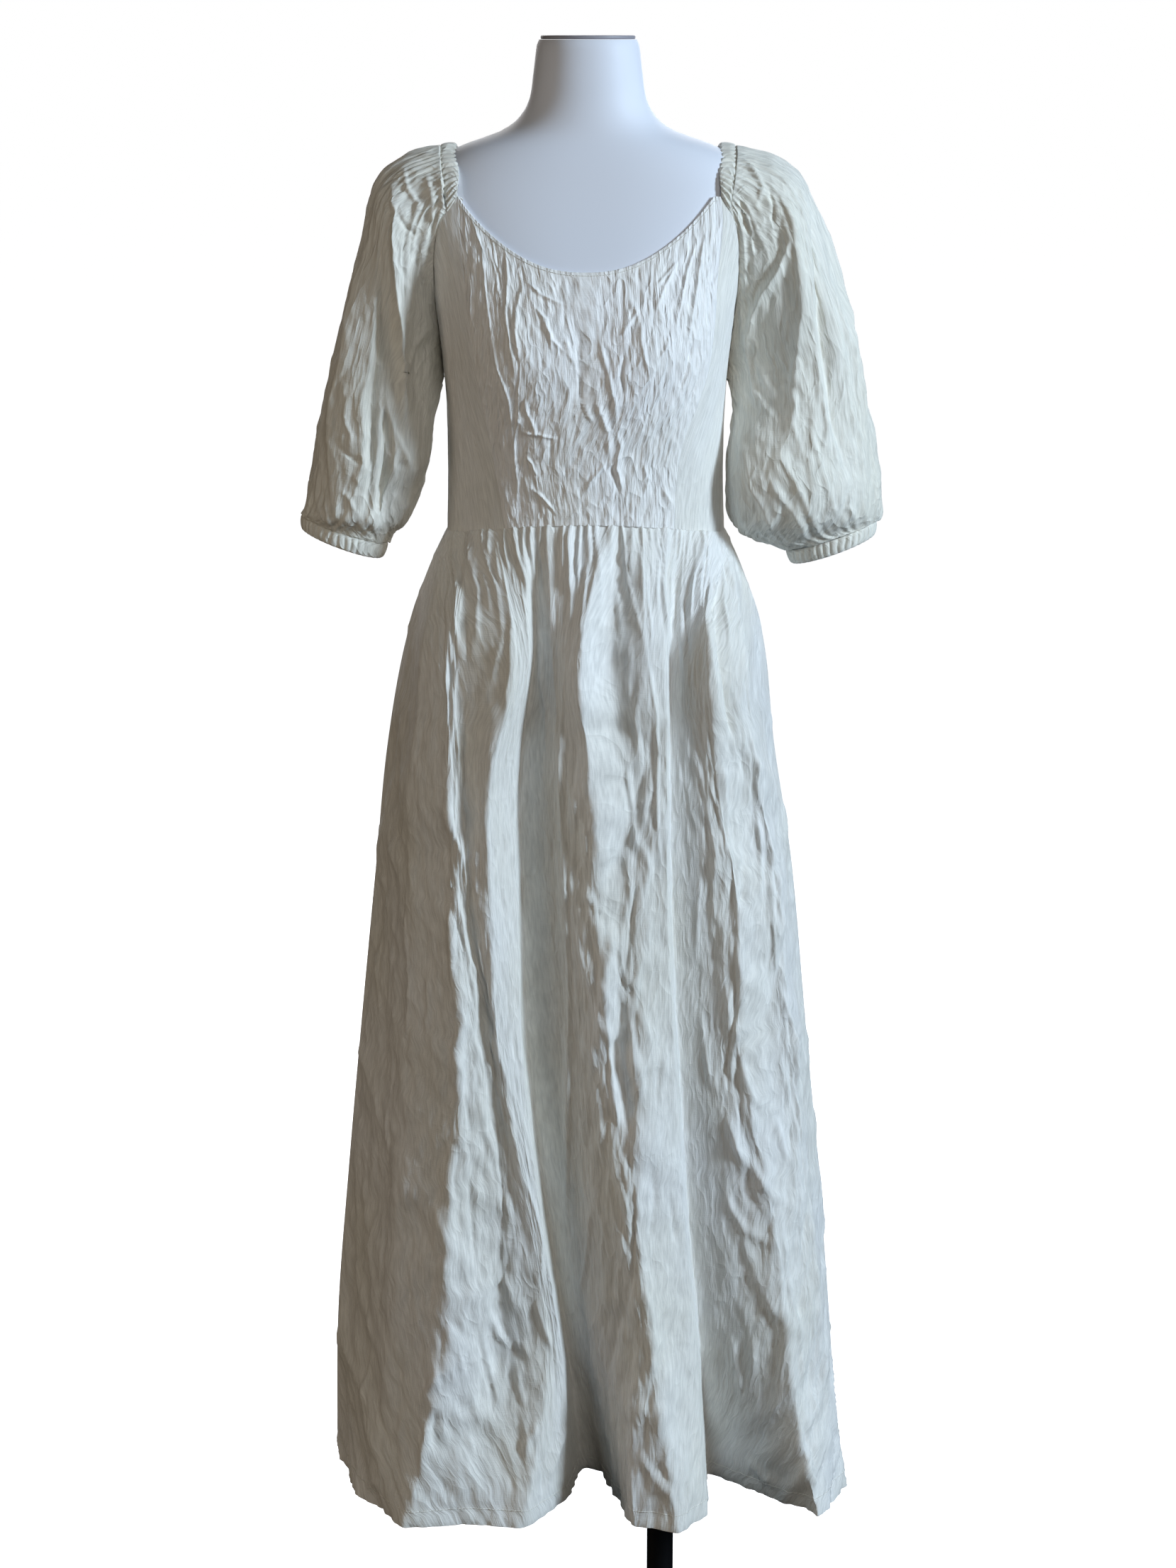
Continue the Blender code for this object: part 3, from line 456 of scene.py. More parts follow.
# Sleeve heads: raglan share, then the outermost point (across, height) of the left and the right sleeve,
# how far the cloth bellies out to front and back, and how round its inner side is
SLEEVE_HEAD = (
    (CASING_SHARE, (0.1395, 1.5985), (0.1395, 1.5985), 0.000, 1.00),
    (0.20, (0.1690, 1.5905), (0.1750, 1.5905), 0.006, 1.00),
    (0.35, (0.1925, 1.5750), (0.1980, 1.5755), 0.017, 1.00),
    (0.52, (0.2050, 1.5530), (0.2120, 1.5530), 0.028, 1.00),
    (0.68, (0.2140, 1.5200), (0.2235, 1.5200), 0.037, 1.05),
    (0.84, (0.2265, 1.4680), (0.2390, 1.4680), 0.045, 1.12),
    (1.00, (0.2420, 1.4100), (0.2560, 1.4100), 0.052, 1.25),
)
# Sleeve tubes below the underarm: for the left and then the right sleeve its inner and outer point (across,
# height) and how far its inner side lies forward, against the bodice; then belly and roundness for both
SLEEVE_TUBE = (
    (((0.1470, 1.3500), (0.2535, 1.3660), 0.014), ((0.1388, 1.3500), (0.2665, 1.3600), 0.014), 0.056, 1.6),
    (((0.1520, 1.3080), (0.2620, 1.3260), 0.012), ((0.1332, 1.3080), (0.2765, 1.3180), 0.030), 0.059, 2.0),
    (((0.1600, 1.2740), (0.2675, 1.2900), 0.000), ((0.1335, 1.2740), (0.2830, 1.2860), 0.032), 0.059, 2.0),
    (((0.1735, 1.2450), (0.2740, 1.2580), 0.000), ((0.1405, 1.2440), (0.2845, 1.2570), 0.022), 0.054, 2.0),
    (((0.1890, 1.2300), (0.2785, 1.2495), 0.000), ((0.1600, 1.2240), (0.2830, 1.2440), 0.006), 0.041, 2.0),
)
# The cuffs: their upper and lower edges, in the same columns
CUFF = (
    (((0.1955, 1.2205), (0.2770, 1.2485), 0.000), ((0.1935, 1.2140), (0.2790, 1.2430), 0.000), 0.0375, 2.0),
    (((0.2010, 1.2065), (0.2770, 1.2345), 0.000), ((0.1990, 1.2010), (0.2775, 1.2290), 0.000), 0.0370, 2.0),
)
# Places down a sleeve: 1 at the underarm, then a step for each row of its tube, and the cuff
TUBE_STEP = 0.2
CUFF_PLACE = 2.1
# How far the sleeve heads and casings stand clear of the bodice
RAGLAN_LIFT = 0.0012
# A band's height in the middle, and of its ruches on a cuff and on a neck casing
BAND_BULGE = 0.0013
CUFF_RUCHE = 0.0018
NECK_RUCHE = 0.0030


# Numbers

def mix(a, b, share):
    return a + (b - a) * share


def unit(vectors):
    length = np.linalg.norm(vectors, axis=-1, keepdims=True)
    return vectors / np.maximum(length, 1e-12)


def smooth(low, high, value):
    """0 below low, 1 above high and a soft step between them."""
    t = np.clip((value - low) / (high - low), 0.0, 1.0)
    return t * t * (3 - 2 * t)


def own(pair, side):
    """The value for the left side, -1, or for the right side, 1."""
    return pair[0] if side < 0 else pair[1]


def grid_shares(columns, rows):
    """The share of the way across a grid for a row, and of the way up from the bottom for a column."""
    return np.linspace(0, 1, columns)[None, :], np.linspace(1, 0, rows)[:, None]


def inside(share, margin):
    """1 across the middle of a row and 0 at both its ends."""
    return smooth(0, margin, share) * smooth(0, margin, 1 - share)


def spline(knots, values, at):
    """A smooth curve through values at rising knots, read at many places.

    With a row of knots and of values for each level, every column of places has a curve of its own.
    """
    knots, values, at = [np.asarray(part, float) for part in (knots, values, at)]
    run = knots[1:] - knots[:-1]
    slopes = np.empty_like(values)
    slopes[0] = (values[1] - values[0]) / run[0]
    slopes[-1] = (values[-1] - values[-2]) / run[-1]
    slopes[1:-1] = (values[2:] - values[:-2]) / (knots[2:] - knots[:-2])
    for i in range(len(run)):
        t = np.clip((at - knots[i]) / run[i], 0.0, 1.0)
        piece = (
            values[i] * (2 * t**3 - 3 * t**2 + 1)
            + slopes[i] * run[i] * (t**3 - 2 * t**2 + t)
            + values[i + 1] * (3 * t**2 - 2 * t**3)
            + slopes[i + 1] * run[i] * (t**3 - t**2)
        )
        result = np.where(at >= knots[i], piece, result) if i else piece
    return result


def lengths_along(points):
    """Metres from the first point, or row of points, to each."""
    steps = np.linalg.norm(np.diff(points, axis=0), axis=-1)
    return np.concatenate([np.zeros((1, *steps.shape[1:])), np.cumsum(steps, axis=0)])


def lattice(seed):
    return np.random.default_rng(seed).uniform(-1.0, 1.0, (LATTICE, LATTICE))


def noise(across, along, seed):
    """Smooth noise from -1 to 1 with cells one unit wide."""
    table = lattice(seed)
    i = np.floor(across).astype(int)
    j = np.floor(along).astype(int)
    u = across - i
    v = along - j
    u = u * u * u * (u * (u * 6 - 15) + 10)
    v = v * v * v * (v * (v * 6 - 15) + 10)

    def at(a, b):
        return table[np.mod(i + a, LATTICE), np.mod(j + b, LATTICE)]

    return mix(mix(at(0, 0), at(1, 0), u), mix(at(0, 1), at(1, 1), u), v)


def facets(u, v, seed):
    """The upper envelope of small tilted domes, one a cell: rounded facets that meet in sharp valleys."""
    tables = [lattice(seed + k) for k in range(5)]
    column = np.floor(u).astype(int)
    row = np.floor(v).astype(int)
    top = np.full(u.shape, -9.0)
    for i in (-1, 0, 1):
        for j in (-1, 0, 1):
            cell = (np.mod(column + i, LATTICE), np.mod(row + j, LATTICE))
            shift_u, shift_v, tilt_u, tilt_v, height = (table[cell] for table in tables)
            du = u - (column + i + 0.5 + 0.42 * shift_u)
            dv = v - (row + j + 0.5 + 0.42 * shift_v)
            dome = 0.22 * height + 0.55 * (tilt_u * du + tilt_v * dv) - 1.2 * (du * du + dv * dv)
            top = np.maximum(top, dome)
    return top


def crumple(across, along, pitch, length, seed):
    """Crumpled cloth, about -0.5 to 0.5 high: flat facets between sharp ridges and valleys that lean."""
    u = across / pitch + 0.45 * noise(across / (2.3 * pitch), along / (1.4 * length), seed + 20)
    v = along / length + 0.35 * noise(across / (1.6 * pitch), along / (1.2 * length), seed + 21)
    ridges = facets(u + 0.55 * v, v - 0.12 * u, seed)
    valleys = facets(0.9 * u - 0.5 * v, v + 0.15 * u, seed + 7)
    return 0.8 * (ridges - valleys)


def crumples(across, along, layers, seed=0, amount=0.0):
    """Crumpling of several sizes at once, by the rows of a table."""
    total = 0.0
    for least, more, pitch, length, own_seed in layers:
        total = total + (least + more * amount) * crumple(across, along, pitch, length, seed + own_seed)
    return total


# Bodies and seams

def oval(angle, half_width, front, back, front_squareness):
    across = np.cos(angle)
    along = np.sin(angle)
    power = 2.0 / np.where(along > 0, front_squareness, BACK_SQUARENESS)
    depth = np.where(along > 0, front, back)
    x = -half_width * np.sign(across) * np.abs(across) ** power
    y = -depth * np.sign(along) * np.abs(along) ** power
    return x, y


def table_at(table, height):
    heights = [row[0] for row in table]
    return [spline(heights, [row[k] for row in table], height) for k in range(1, len(table[0]))]


def body_point(angle, height):
    """Points on the bodice's surface."""
    angle, height = np.broadcast_arrays(np.asarray(angle, float), np.asarray(height, float))
    x, y = oval(angle, *table_at(BODICE, height))
    out, hollow, apart, at, across, up = BUST
    near = np.exp(-(((height - at) / up) ** 2)) * (np.sin(angle) > 0)
    y = y - near * out * np.exp(-(((np.abs(x) - apart) / across) ** 2))
    y = y + near * hollow * np.exp(-((x / across) ** 2))
    return np.stack((x + BODICE_SHIFT, y, height), axis=-1)


def waist_height(angle):
    rise = np.where(np.sin(angle) > 0, WAIST_FRONT_RISE, WAIST_BACK_RISE)
    return WAIST_SIDE_Z + rise * np.sin(angle) ** 2


def princess_angle(side, share):
    angle = np.radians(spline([row[0] for row in PRINCESS], [own(row[1:], side) for row in PRINCESS], share))
    return own((angle, math.pi - angle), side)


def raglan(share, side, facing):
    """Angle and height on a raglan seam: share 0 at the neckline, 1 at the underarm."""
    share = np.asarray(share, float)
    if facing == "front":
        turn, corner, top = 1, own(PRINCESS[-1][1:], side), CORNER_Z
    else:
        turn, corner, top = -1, BACK_CORNER_ANGLE, BACK_CORNER_Z
    away = turn * np.maximum(math.radians(corner) * (1 - share) ** RAGLAN_POWER, SEAM_TURN)
    return own((away, math.pi - away), side), mix(top, UNDERARM_Z, share)


# Grids of cloth

class Cloth:
    """A grid of points: rows from the top edge down, columns from left to right as seen from outside."""

    def __init__(self, points):
        self.points = np.array(points)

    def normals(self):
        down = np.gradient(self.points, axis=0)
        across = np.gradient(self.points, axis=1)
        return unit(np.cross(down, across))

    def widths(self):
        """Metres along each row, from its middle."""
        run = lengths_along(self.points.swapaxes(0, 1)).T
        return run - run[:, -1:] / 2

    def lengths(self):
        """Metres down each column, from the top edge."""
        return lengths_along(self.points)

    def even(self):
        """Metres across and down, with each row and each column spread evenly."""
        rows, columns = self.points.shape[:2]
        across = (np.linspace(0, 1, columns) - 0.5) * np.ptp(self.widths(), axis=1)[:, None]
        down = np.linspace(0, self.lengths()[-1].mean(), rows)[:, None]
        return np.broadcast_arrays(across, down)

    def raise_by(self, height):
        self.points += self.normals() * height[..., None]


def calm(vectors, reach=6):
    """Directions along an edge, evened out between neighbours."""
    padded = np.pad(vectors, ((reach + 1, reach), (0, 0)), mode="edge")
    total = np.cumsum(padded, axis=0)
    return unit(total[2 * reach + 1 :] - total[: -2 * reach - 1])


def turned(points, normals, radius, depth, turn):
    """Rows that carry a grid's first row over a rounded edge and on inside, outermost row first."""
    beyond = calm(unit(points[0] - points[1]))
    out = calm(normals[0])
    rows = []
    for angle in np.linspace(0, turn, 5)[1:]:
        rows.append(points[0] + radius * (math.sin(angle) * beyond - (1 - math.cos(angle)) * out))
    if turn < math.pi:
        onward = math.cos(turn) * beyond - math.sin(turn) * out
        rows.append(rows[-1] + depth * onward)
    else:
        steps = max(int(depth / np.linalg.norm(points[0] - points[1], axis=-1).mean()), 1)
        rows.extend(points[k] - 2 * radius * normals[k] for k in range(1, steps + 1))
    return np.array(rows[::-1])


def turn_edge(cloth, edge, depth=ALLOWANCE, turn=math.pi / 2, radius=EDGE_RADIUS):
    """Turns one edge of the grid in: top, bottom, left or right."""
    points = cloth.points
    normals = cloth.normals()
    flip = edge in ("bottom", "right")
    if edge in ("left", "right"):
        points = points.swapaxes(0, 1)
        normals = normals.swapaxes(0, 1)
    if flip:
        points = points[::-1]
        normals = normals[::-1]
    points = np.concatenate([turned(points, normals, radius, depth, turn), points])
    if flip:
        points = points[::-1]
    if edge in ("left", "right"):
        points = points.swapaxes(0, 1)
    cloth.points = points


def turn_edges(cloth, *edges, **values):
    for edge in edges:
        turn_edge(cloth, edge, **values)


def add_piece(name, mesh, material, node=None):
    """Puts a mesh in the scene, riding with the part, and in place of a node's solid if one is named."""
    mesh.shade_smooth()
    mesh.materials.append(material)
    piece = add_object(name, mesh)
    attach(piece, "root")
    if node:
        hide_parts(node)
    return piece


def add_object(name, data):
    made = bpy.data.objects.new(name, data)
    bpy.context.scene.collection.objects.link(made)
    return made


def new_mesh(name, points, faces):
    mesh = bpy.data.meshes.new(name)
    mesh.from_pydata(np.reshape(points, (-1, 3)).tolist(), [], faces)
    return mesh


def between_rings(rings, sides):
    """The faces between rings of points that follow each other."""
    faces = []
    for first in range(0, sides * (rings - 1), sides):
        for k in range(sides):
            a = first + k
            b = first + (k + 1) % sides
            faces.append((a, b, b + sides, a + sides))
    return faces


def make_piece(name, cloth, material, node=None):
    """A mesh from a grid, with a map of its width and length in metres."""
    across, down = cloth.even()
    rows, columns = cloth.points.shape[:2]
    number = np.arange(rows * columns).reshape(rows, columns)
    corners = np.stack((number[:-1, :-1], number[1:, :-1], number[1:, 1:], number[:-1, 1:]), axis=-1)
    corners = corners.reshape(-1, 4)
    mesh = new_mesh(name, cloth.points, corners.tolist())
    flat = np.stack((across, -down), axis=-1).reshape(-1, 2)
    layer = mesh.uv_layers.new(name="cloth")
    layer.data.foreach_set("uv", flat[corners.reshape(-1)].astype(np.float32).ravel())
    return add_piece(name, mesh, material, node)


def add_stitches(name, cloth, row, pitch):
    """Stitches along one row of a finished grid: short thread capsules that lie on the cloth, in one mesh."""
    normals = cloth.normals()[row]
    line = cloth.points[row] + STITCH_LIFT * normals
    run = lengths_along(line)
    middles = np.arange(pitch, run[-1] - pitch, pitch)

    def along(at, values):
        return np.stack([np.interp(at, run, values[:, k]) for k in range(3)], axis=-1)

    start = along(middles - STITCH_SHARE * pitch, line)
    end = along(middles + STITCH_SHARE * pitch, line)
    out = unit(along(middles, normals))
    lengthwise = unit(end - start)
    side = unit(np.cross(end - start, out))
    turns = 2 * math.pi * np.arange(STITCH_SIDES) / STITCH_SIDES
    rings = (
        (start - STITCH_TIP * lengthwise, 0.0), (start, STITCH_RADIUS),
        (end, STITCH_RADIUS), (end + STITCH_TIP * lengthwise, 0.0),
    )
    verts = []
    for centre, size in rings:
        for turn in turns:
            verts.append(centre + size * (math.cos(turn) * out + math.sin(turn) * side))
    starts = np.arange(len(middles))[:, None, None] * len(verts)
    faces = starts + np.array(between_rings(len(rings), STITCH_SIDES))
    mesh = new_mesh(name, np.stack(verts, axis=1), faces.reshape(-1, 4).tolist())
    return add_piece(name, mesh, THREAD)


# Materials

def fill(node, values):
    """Sets a node's inputs and settings. A value that is another node's output is linked instead."""
    for name, value in values.items():
        if isinstance(value, bpy.types.NodeSocket):
            node.id_data.links.new(value, node.inputs[name])
        elif isinstance(name, int) or name in node.inputs:
            node.inputs[name].default_value = value
        else:
            setattr(node, name, value)


def add_node(tree, kind, **values):
    node = tree.nodes.new(kind)
    fill(node, values)
    return node


def new_material(name, colour, roughness, others=()):
    """A material with its node tree and its shader."""
    made = bpy.data.materials.new(name)
    made.use_nodes = True
    shader = made.node_tree.nodes["Principled BSDF"]
    fill(shader, {"Base Color": (*colour, 1.0), "Roughness": roughness, **dict(others)})
    return made, made.node_tree, shader


def mapped(tree, value, to_low, to_high, from_low=0.0, from_high=1.0):
    """A value carried from one range to another."""
    spread = add_node(tree, "ShaderNodeMapRange", Value=value)
    fill(spread, {"From Min": from_low, "From Max": from_high, "To Min": to_low, "To Max": to_high})
    return spread.outputs["Result"]


def added(tree, first, second):
    total = add_node(tree, "ShaderNodeMath", operation="ADD")
    fill(total, {0: first, 1: second})
    return total.outputs[0]


def blended(tree, how, share, first, second):
    """Two colours mixed or multiplied."""
    blend = add_node(tree, "ShaderNodeMix", data_type="RGBA", blend_type=how)
    fill(blend, {0: share, 6: first, 7: second})
    return blend.outputs[2]


def bumped(tree, height, strength, distance, under=()):
    """A normal raised by a height, over another normal if one is given."""
    relief = add_node(tree, "ShaderNodeBump", Height=height, Strength=strength, Distance=distance)
    fill(relief, dict(under))
    return relief.outputs["Normal"]


def solid_pattern(tree, kind, **values):
    """A pattern through the whole object."""
    place = add_node(tree, "ShaderNodeTexCoord")
    return add_node(tree, kind, Vector=place.outputs["Object"], **values).outputs["Fac"]


def gauze(name, colour, shade, crinkle, creasing):
    """Cotton gauze: a loose slubby weave under a lengthwise crinkle and fine creases."""
    sheen = {"Sheen Weight": 0.25, "Sheen Roughness": 0.45, "Specular IOR Level": 0.25}
    made, tree, shader = new_material(name, colour, 0.92, sheen)
    where = add_node(tree, "ShaderNodeUVMap", uv_map="cloth").outputs["UV"]

    def stretched(across, along, **values):
        scaled = add_node(tree, "ShaderNodeMapping", Vector=where, Scale=(across, along, 1.0))
        grain = add_node(tree, "ShaderNodeTexNoise", Vector=scaled.outputs["Vector"], Scale=1.0, **values)
        return grain.outputs["Fac"]

    drift = stretched(9.0, 4.0, Detail=2.0, Roughness=0.55)
    warp = stretched(900.0, 70.0, Detail=1.0, Roughness=0.55)
    weft = stretched(90.0, 1000.0, Detail=1.0, Roughness=0.55)
    crepe = stretched(230.0, 26.0, Detail=3.0, Roughness=0.55)
    thick_yarns = stretched(400.0, 26.0, Detail=2.0, Roughness=0.55)
    ridges = stretched(
        75.0, 32.0, noise_type="RIDGED_MULTIFRACTAL",
        Detail=3.0, Roughness=0.5, Offset=0.9, Gain=1.0, Distortion=0.7,
    )
    dyed = blended(tree, "MIX", mapped(tree, drift, 0.0, 1.0, 0.35, 0.65), (*shade, 1.0), (*colour, 1.0))
    slubs = mapped(tree, added(tree, warp, thick_yarns), 0.87, 1.08, 0.75, 1.25)
    weave = bumped(tree, added(tree, warp, weft), 0.35, 0.0004)
    folds = bumped(tree, crepe, crinkle, 0.0025, {"Normal": weave})
    creased = bumped(tree, ridges, creasing, 0.0016, {"Normal": folds})
    fill(shader, {"Base Color": blended(tree, "MULTIPLY", 1.0, dyed, slubs), "Normal": creased})
    return made


def shell_material():
    """A moulded shell: a soft gloss with faint handling marks."""
    made, tree, shader = new_material("form_shell", (0.80, 0.83, 0.92), 0.5, {"Specular IOR Level": 0.30})
    marks = solid_pattern(tree, "ShaderNodeTexNoise", Scale=22.0, Detail=4.0)
    fill(shader, {"Roughness": mapped(tree, marks, 0.45, 0.60)})
    return made


def metal_material():
    """Black paint on metal, a little uneven."""
    made, tree, shader = new_material("black_metal", (0.010, 0.010, 0.012), 0.42, {"Metallic": 0.4})
    marks = solid_pattern(tree, "ShaderNodeTexNoise", Scale=90.0, Detail=5.0)
    fill(shader, {"Roughness": mapped(tree, marks, 0.32, 0.55), "Normal": bumped(tree, marks, 0.12, 0.0004)})
    return made


def cap_material():
    """Grey plastic with a fine grain."""
    made, tree, shader = new_material("cap_grey", (0.30, 0.29, 0.33), 0.5)
    grain = solid_pattern(tree, "ShaderNodeTexNoise", Scale=300.0, Detail=2.0)
    fill(shader, {"Normal": bumped(tree, grain, 0.15, 0.0003)})
    return made


def thread_material():
    """Matt cotton thread, finely twisted."""
    made, tree, shader = new_material("cotton_thread", (0.80, 0.79, 0.74), 0.8)
    twist = solid_pattern(tree, "ShaderNodeTexWave", Scale=1400.0, Distortion=1.0)
    fill(shader, {"Normal": bumped(tree, twist, 0.4, 0.0001)})
    return made


GAUZE = gauze("gauze", (0.83, 0.83, 0.82), (0.80, 0.79, 0.74), 0.35, 0.35)
# The sleeves, casings and cuffs share a yellower copy of the skirt's gauze: its yellow tint is painted shade,
# the warm cast of shaded cloth painted into the colour
SHADED_SLEEVE_GAUZE = gauze("sleeve_gauze_painted_shade", (0.84, 0.83, 0.78), (0.80, 0.785, 0.71), 0.40, 0.55)
CRINKLED = gauze("crinkled_gauze", (0.93, 0.93, 0.94), (0.90, 0.89, 0.86), 0.85, 0.60)
THREAD = thread_material()
SHELL = shell_material()
METAL = metal_material()
CAP = cap_material()


# The skirt

def fold_lines(folds):
    """Each fold's place at every level, in metres."""
    return np.array(list(folds.values())) / 1000


def fold_places(folds):
    """Each fold's share of the way round at the hem, and the length of the hem."""
    run = lengths_along(fold_lines(folds)[:, -1])
    return run / run[-1], run[-1]


def soften(values, spread):
    """Values along a row, run together over a few columns; both ends stay."""
    reach = int(math.ceil(3 * spread))
    weights = np.exp(-0.5 * (np.arange(-reach, reach + 1) / spread) ** 2)
    padded = np.pad(values, reach, mode="reflect", reflect_type="odd")
    return np.convolve(padded, weights / weights.sum(), mode="valid")


def skirt_grid(folds, start, columns, rows):
    """The skirt's hanging form, and each point's share of the way round and drop below the waist."""
    places, girth = fold_places(folds)
    share = np.linspace(0, 1, columns)
    angle = start + math.pi * share
    seam = waist_height(angle) - SEAM_GAP
    down = np.linspace(0, 1, rows)[:, None]
    height = mix(seam, HEM_Z, down)
    waist = body_point(angle, WAIST_SIDE_Z)
    levels = [np.full(columns, level) for level in FOLD_LEVELS[::-1]]
    levels += [mix(seam, FOLD_LEVELS[0], FOLD_HEAD), seam]
    spread = FOLD_SOFTNESS * columns / girth
    reach = FOLD_HEAD_REACH * columns / girth
    across, along = [], []
    for line in fold_lines(folds).swapaxes(0, 1)[::-1]:
        across.append(soften(np.interp(share, places, line[:, 0]), spread))
        along.append(soften(np.interp(share, places, line[:, 1]), spread))
    for lines, end in ((across, waist[:, 0]), (along, waist[:, 1])):
        calmed = soften(lines[-1], reach)
        head = mix(end, calmed, FOLD_HEAD) + FOLD_HEAD_SHARE * (lines[-1] - calmed)
        lines += [head, end]
    x = spline(levels, across, height)
    y = spline(levels, along, height)
    drop = np.clip((seam - height) / (seam - FOLD_LEVELS[0]), 0.0, 1.0)
    puff = SKIRT_PUFF * np.sin(math.pi * drop**0.8)
    out_x = x / SKIRT_GIRTH[0] ** 2
    out_y = y / SKIRT_GIRTH[1] ** 2
    length = np.hypot(out_x, out_y)
    points = np.stack((x + puff * out_x / length, y + puff * out_y / length, height), axis=-1)
    return Cloth(points), np.broadcast_to(share, height.shape), seam - height


def gathers(share, drop, count, seed):
    """Gathers below a seam: narrow ridges of unequal length that lean and run together, about 1 high."""
    chance = np.random.default_rng(seed)
    centre = (np.arange(count) + 0.5 + chance.uniform(-0.28, 0.28, count)) / count
    reach = 0.028 + 0.17 * chance.uniform(0, 1, count) ** 2.2
    height = chance.uniform(0.55, 1.15, count)
    lean = chance.uniform(-0.55, 0.55, count) / count
    breadth = chance.uniform(0.24, 0.36, count) / count
    total = np.zeros(share.shape)
    for k in range(count):
        down = drop / reach[k]
        middle = centre[k] + lean[k] * smooth(0, 1.2, down)
        spread = breadth[k] * (1 + 0.5 * down)
        fade = np.clip(1 - down / 1.6, 0, 1) ** 1.5
        total += height[k] * np.clip(1 - np.abs(share - middle) / (1.9 * spread), 0, 1) ** 1.4 * fade
    return total


def creases(across, along, table):
    """Creases along listed lines, sharp at the crest and hollow at the sides."""
    total = np.zeros(across.shape)
    for left, right, height, line in ((*size, line) for *size, lines in table for line in lines):
        places = np.array(line, float).reshape(-1, 2) / 1000
        steps = np.diff(places, axis=0)
        sizes = np.linalg.norm(steps, axis=1)
        run = lengths_along(places)
        best = np.full(across.shape, 9.0)
        side = np.zeros(across.shape)
        place = np.zeros(across.shape)
        for k in range(len(steps)):
            off_across = across - places[k, 0]
            off_along = along - places[k, 1]
            t = np.clip((off_across * steps[k, 0] + off_along * steps[k, 1]) / sizes[k] ** 2, 0, 1)
            off_across = off_across - t * steps[k, 0]
            off_along = off_along - t * steps[k, 1]
            away = np.hypot(off_across, off_along)
            closer = away < best
            best = np.where(closer, away, best)
            side = np.where(closer, off_across * steps[k, 1] - off_along * steps[k, 0], side)
            place = np.where(closer, (run[k] + t * sizes[k]) / run[-1], place)
        reach = np.where(side > 0, right, left) / 1000
        head = 1.0 if places[0, 1] < 0.012 else smooth(-0.02, 0.25, place)
        taper = head * (1 - smooth(0.72, 1.02, place))
        total += height / 1000 * np.clip(1 - best / reach, 0, 1) ** 1.5 * taper
    return total


def gather_rows(table):
    """The gathers as rows of a crease table, each along a line of three points."""
    rows = []
    for *size, gathered in table:
        lines = []
        for head, foot, swing, top, bottom in gathered:
            lines.append((head, top, (head + foot) / 2 + swing, (top + bottom) / 2, foot, bottom))
        rows.append((*size, lines))
    return rows


def make_skirt(name, node, folds, crumpled, start, table, gather_height, seed, grid):
    cloth, share, drop = skirt_grid(folds, start, *grid)
    across = cloth.widths()
    along = cloth.lengths()
    edge = inside(share, 0.012)
    relief = creases(across, along, table)
    rise = gathers(share, drop, WAIST_GATHERS, seed) - 0.5 * (1 - smooth(0.02, 0.12, drop))
    relief += gather_height * rise * smooth(-0.004, 0.010, drop)
    amount = np.interp(share, fold_places(folds)[0], crumpled)
    amount = amount * (0.35 + 0.65 * smooth(0.08, 0.30, drop))
    amount = np.maximum(amount, 0.75 * smooth(0.62, 0.85, drop) * smooth(0.15, 0.5, amount))
    relief += crumples(*cloth.even(), SKIRT_CRUMPLES, seed, amount)
    cloth.raise_by(edge * relief)
    from_hem = along[-1] - along
    puckers = np.sin(across * 2 * math.pi / PUCKER_PITCH + 3 * noise(across / 0.03, along * 0, seed + 40))
    band = 1 - smooth(HEM_DEPTH - 0.003, HEM_DEPTH + 0.006, from_hem)
    groove = np.exp(-(((from_hem - HEM_DEPTH) / HEM_GROOVE_REACH) ** 2))
    cloth.raise_by(PUCKER_HEIGHT * puckers * band - HEM_GROOVE_DEPTH * groove)
    hem_row = int(np.argmin(np.abs(from_hem[:, grid[0] // 2] - HEM_DEPTH)))
    add_stitches(name + "_hem_stitches", cloth, hem_row, HEM_STITCH_PITCH)
    turn_edges(cloth, "left", "right", "top")
    turn_edge(cloth, "bottom", depth=HEM_DEPTH, turn=math.pi)
    return make_piece(name, cloth, GAUZE, node)


# The bodice

def make_bodice_front():
    share, up = grid_shares(*BODICE_FRONT_GRID)
    half_corner = math.cos(princess_angle(-1, 1.0))
    left = princess_angle(-1, up) + SEAM_TURN
    right = princess_angle(1, up) - SEAM_TURN
    angle = mix(left, right, share)
    top_angle = mix(princess_angle(-1, 1.0), princess_angle(1, 1.0), share)
    out = np.minimum(np.abs(np.cos(top_angle)) / half_corner, 1.0)
    top = mix(NECK_LOW_Z, CORNER_Z, out**FRONT_NECKLINE_POWER)
    cloth = Cloth(body_point(angle, mix(waist_height(angle) + SEAM_GAP, top, up)))
    across = cloth.widths()
    along = cloth.lengths()
    edge = inside(share, 0.04)
    relief = creases(across, along, BODICE_CREASES)
    relief += crumples(across, along, BODICE_FRONT_CRUMPLES)
    cloth.raise_by(edge * relief * smooth(0.0, 0.012, along))
    add_stitches("neckline_stitches", cloth, NECK_STITCH_ROW, NECK_STITCH_PITCH)
    turn_edges(cloth, "left", "right")
    turn_edge(cloth, "top", turn=0.7 * math.pi)
    turn_edge(cloth, "bottom")
    return make_piece("crinkled_bodice_front", cloth, CRINKLED, "bodice_front")


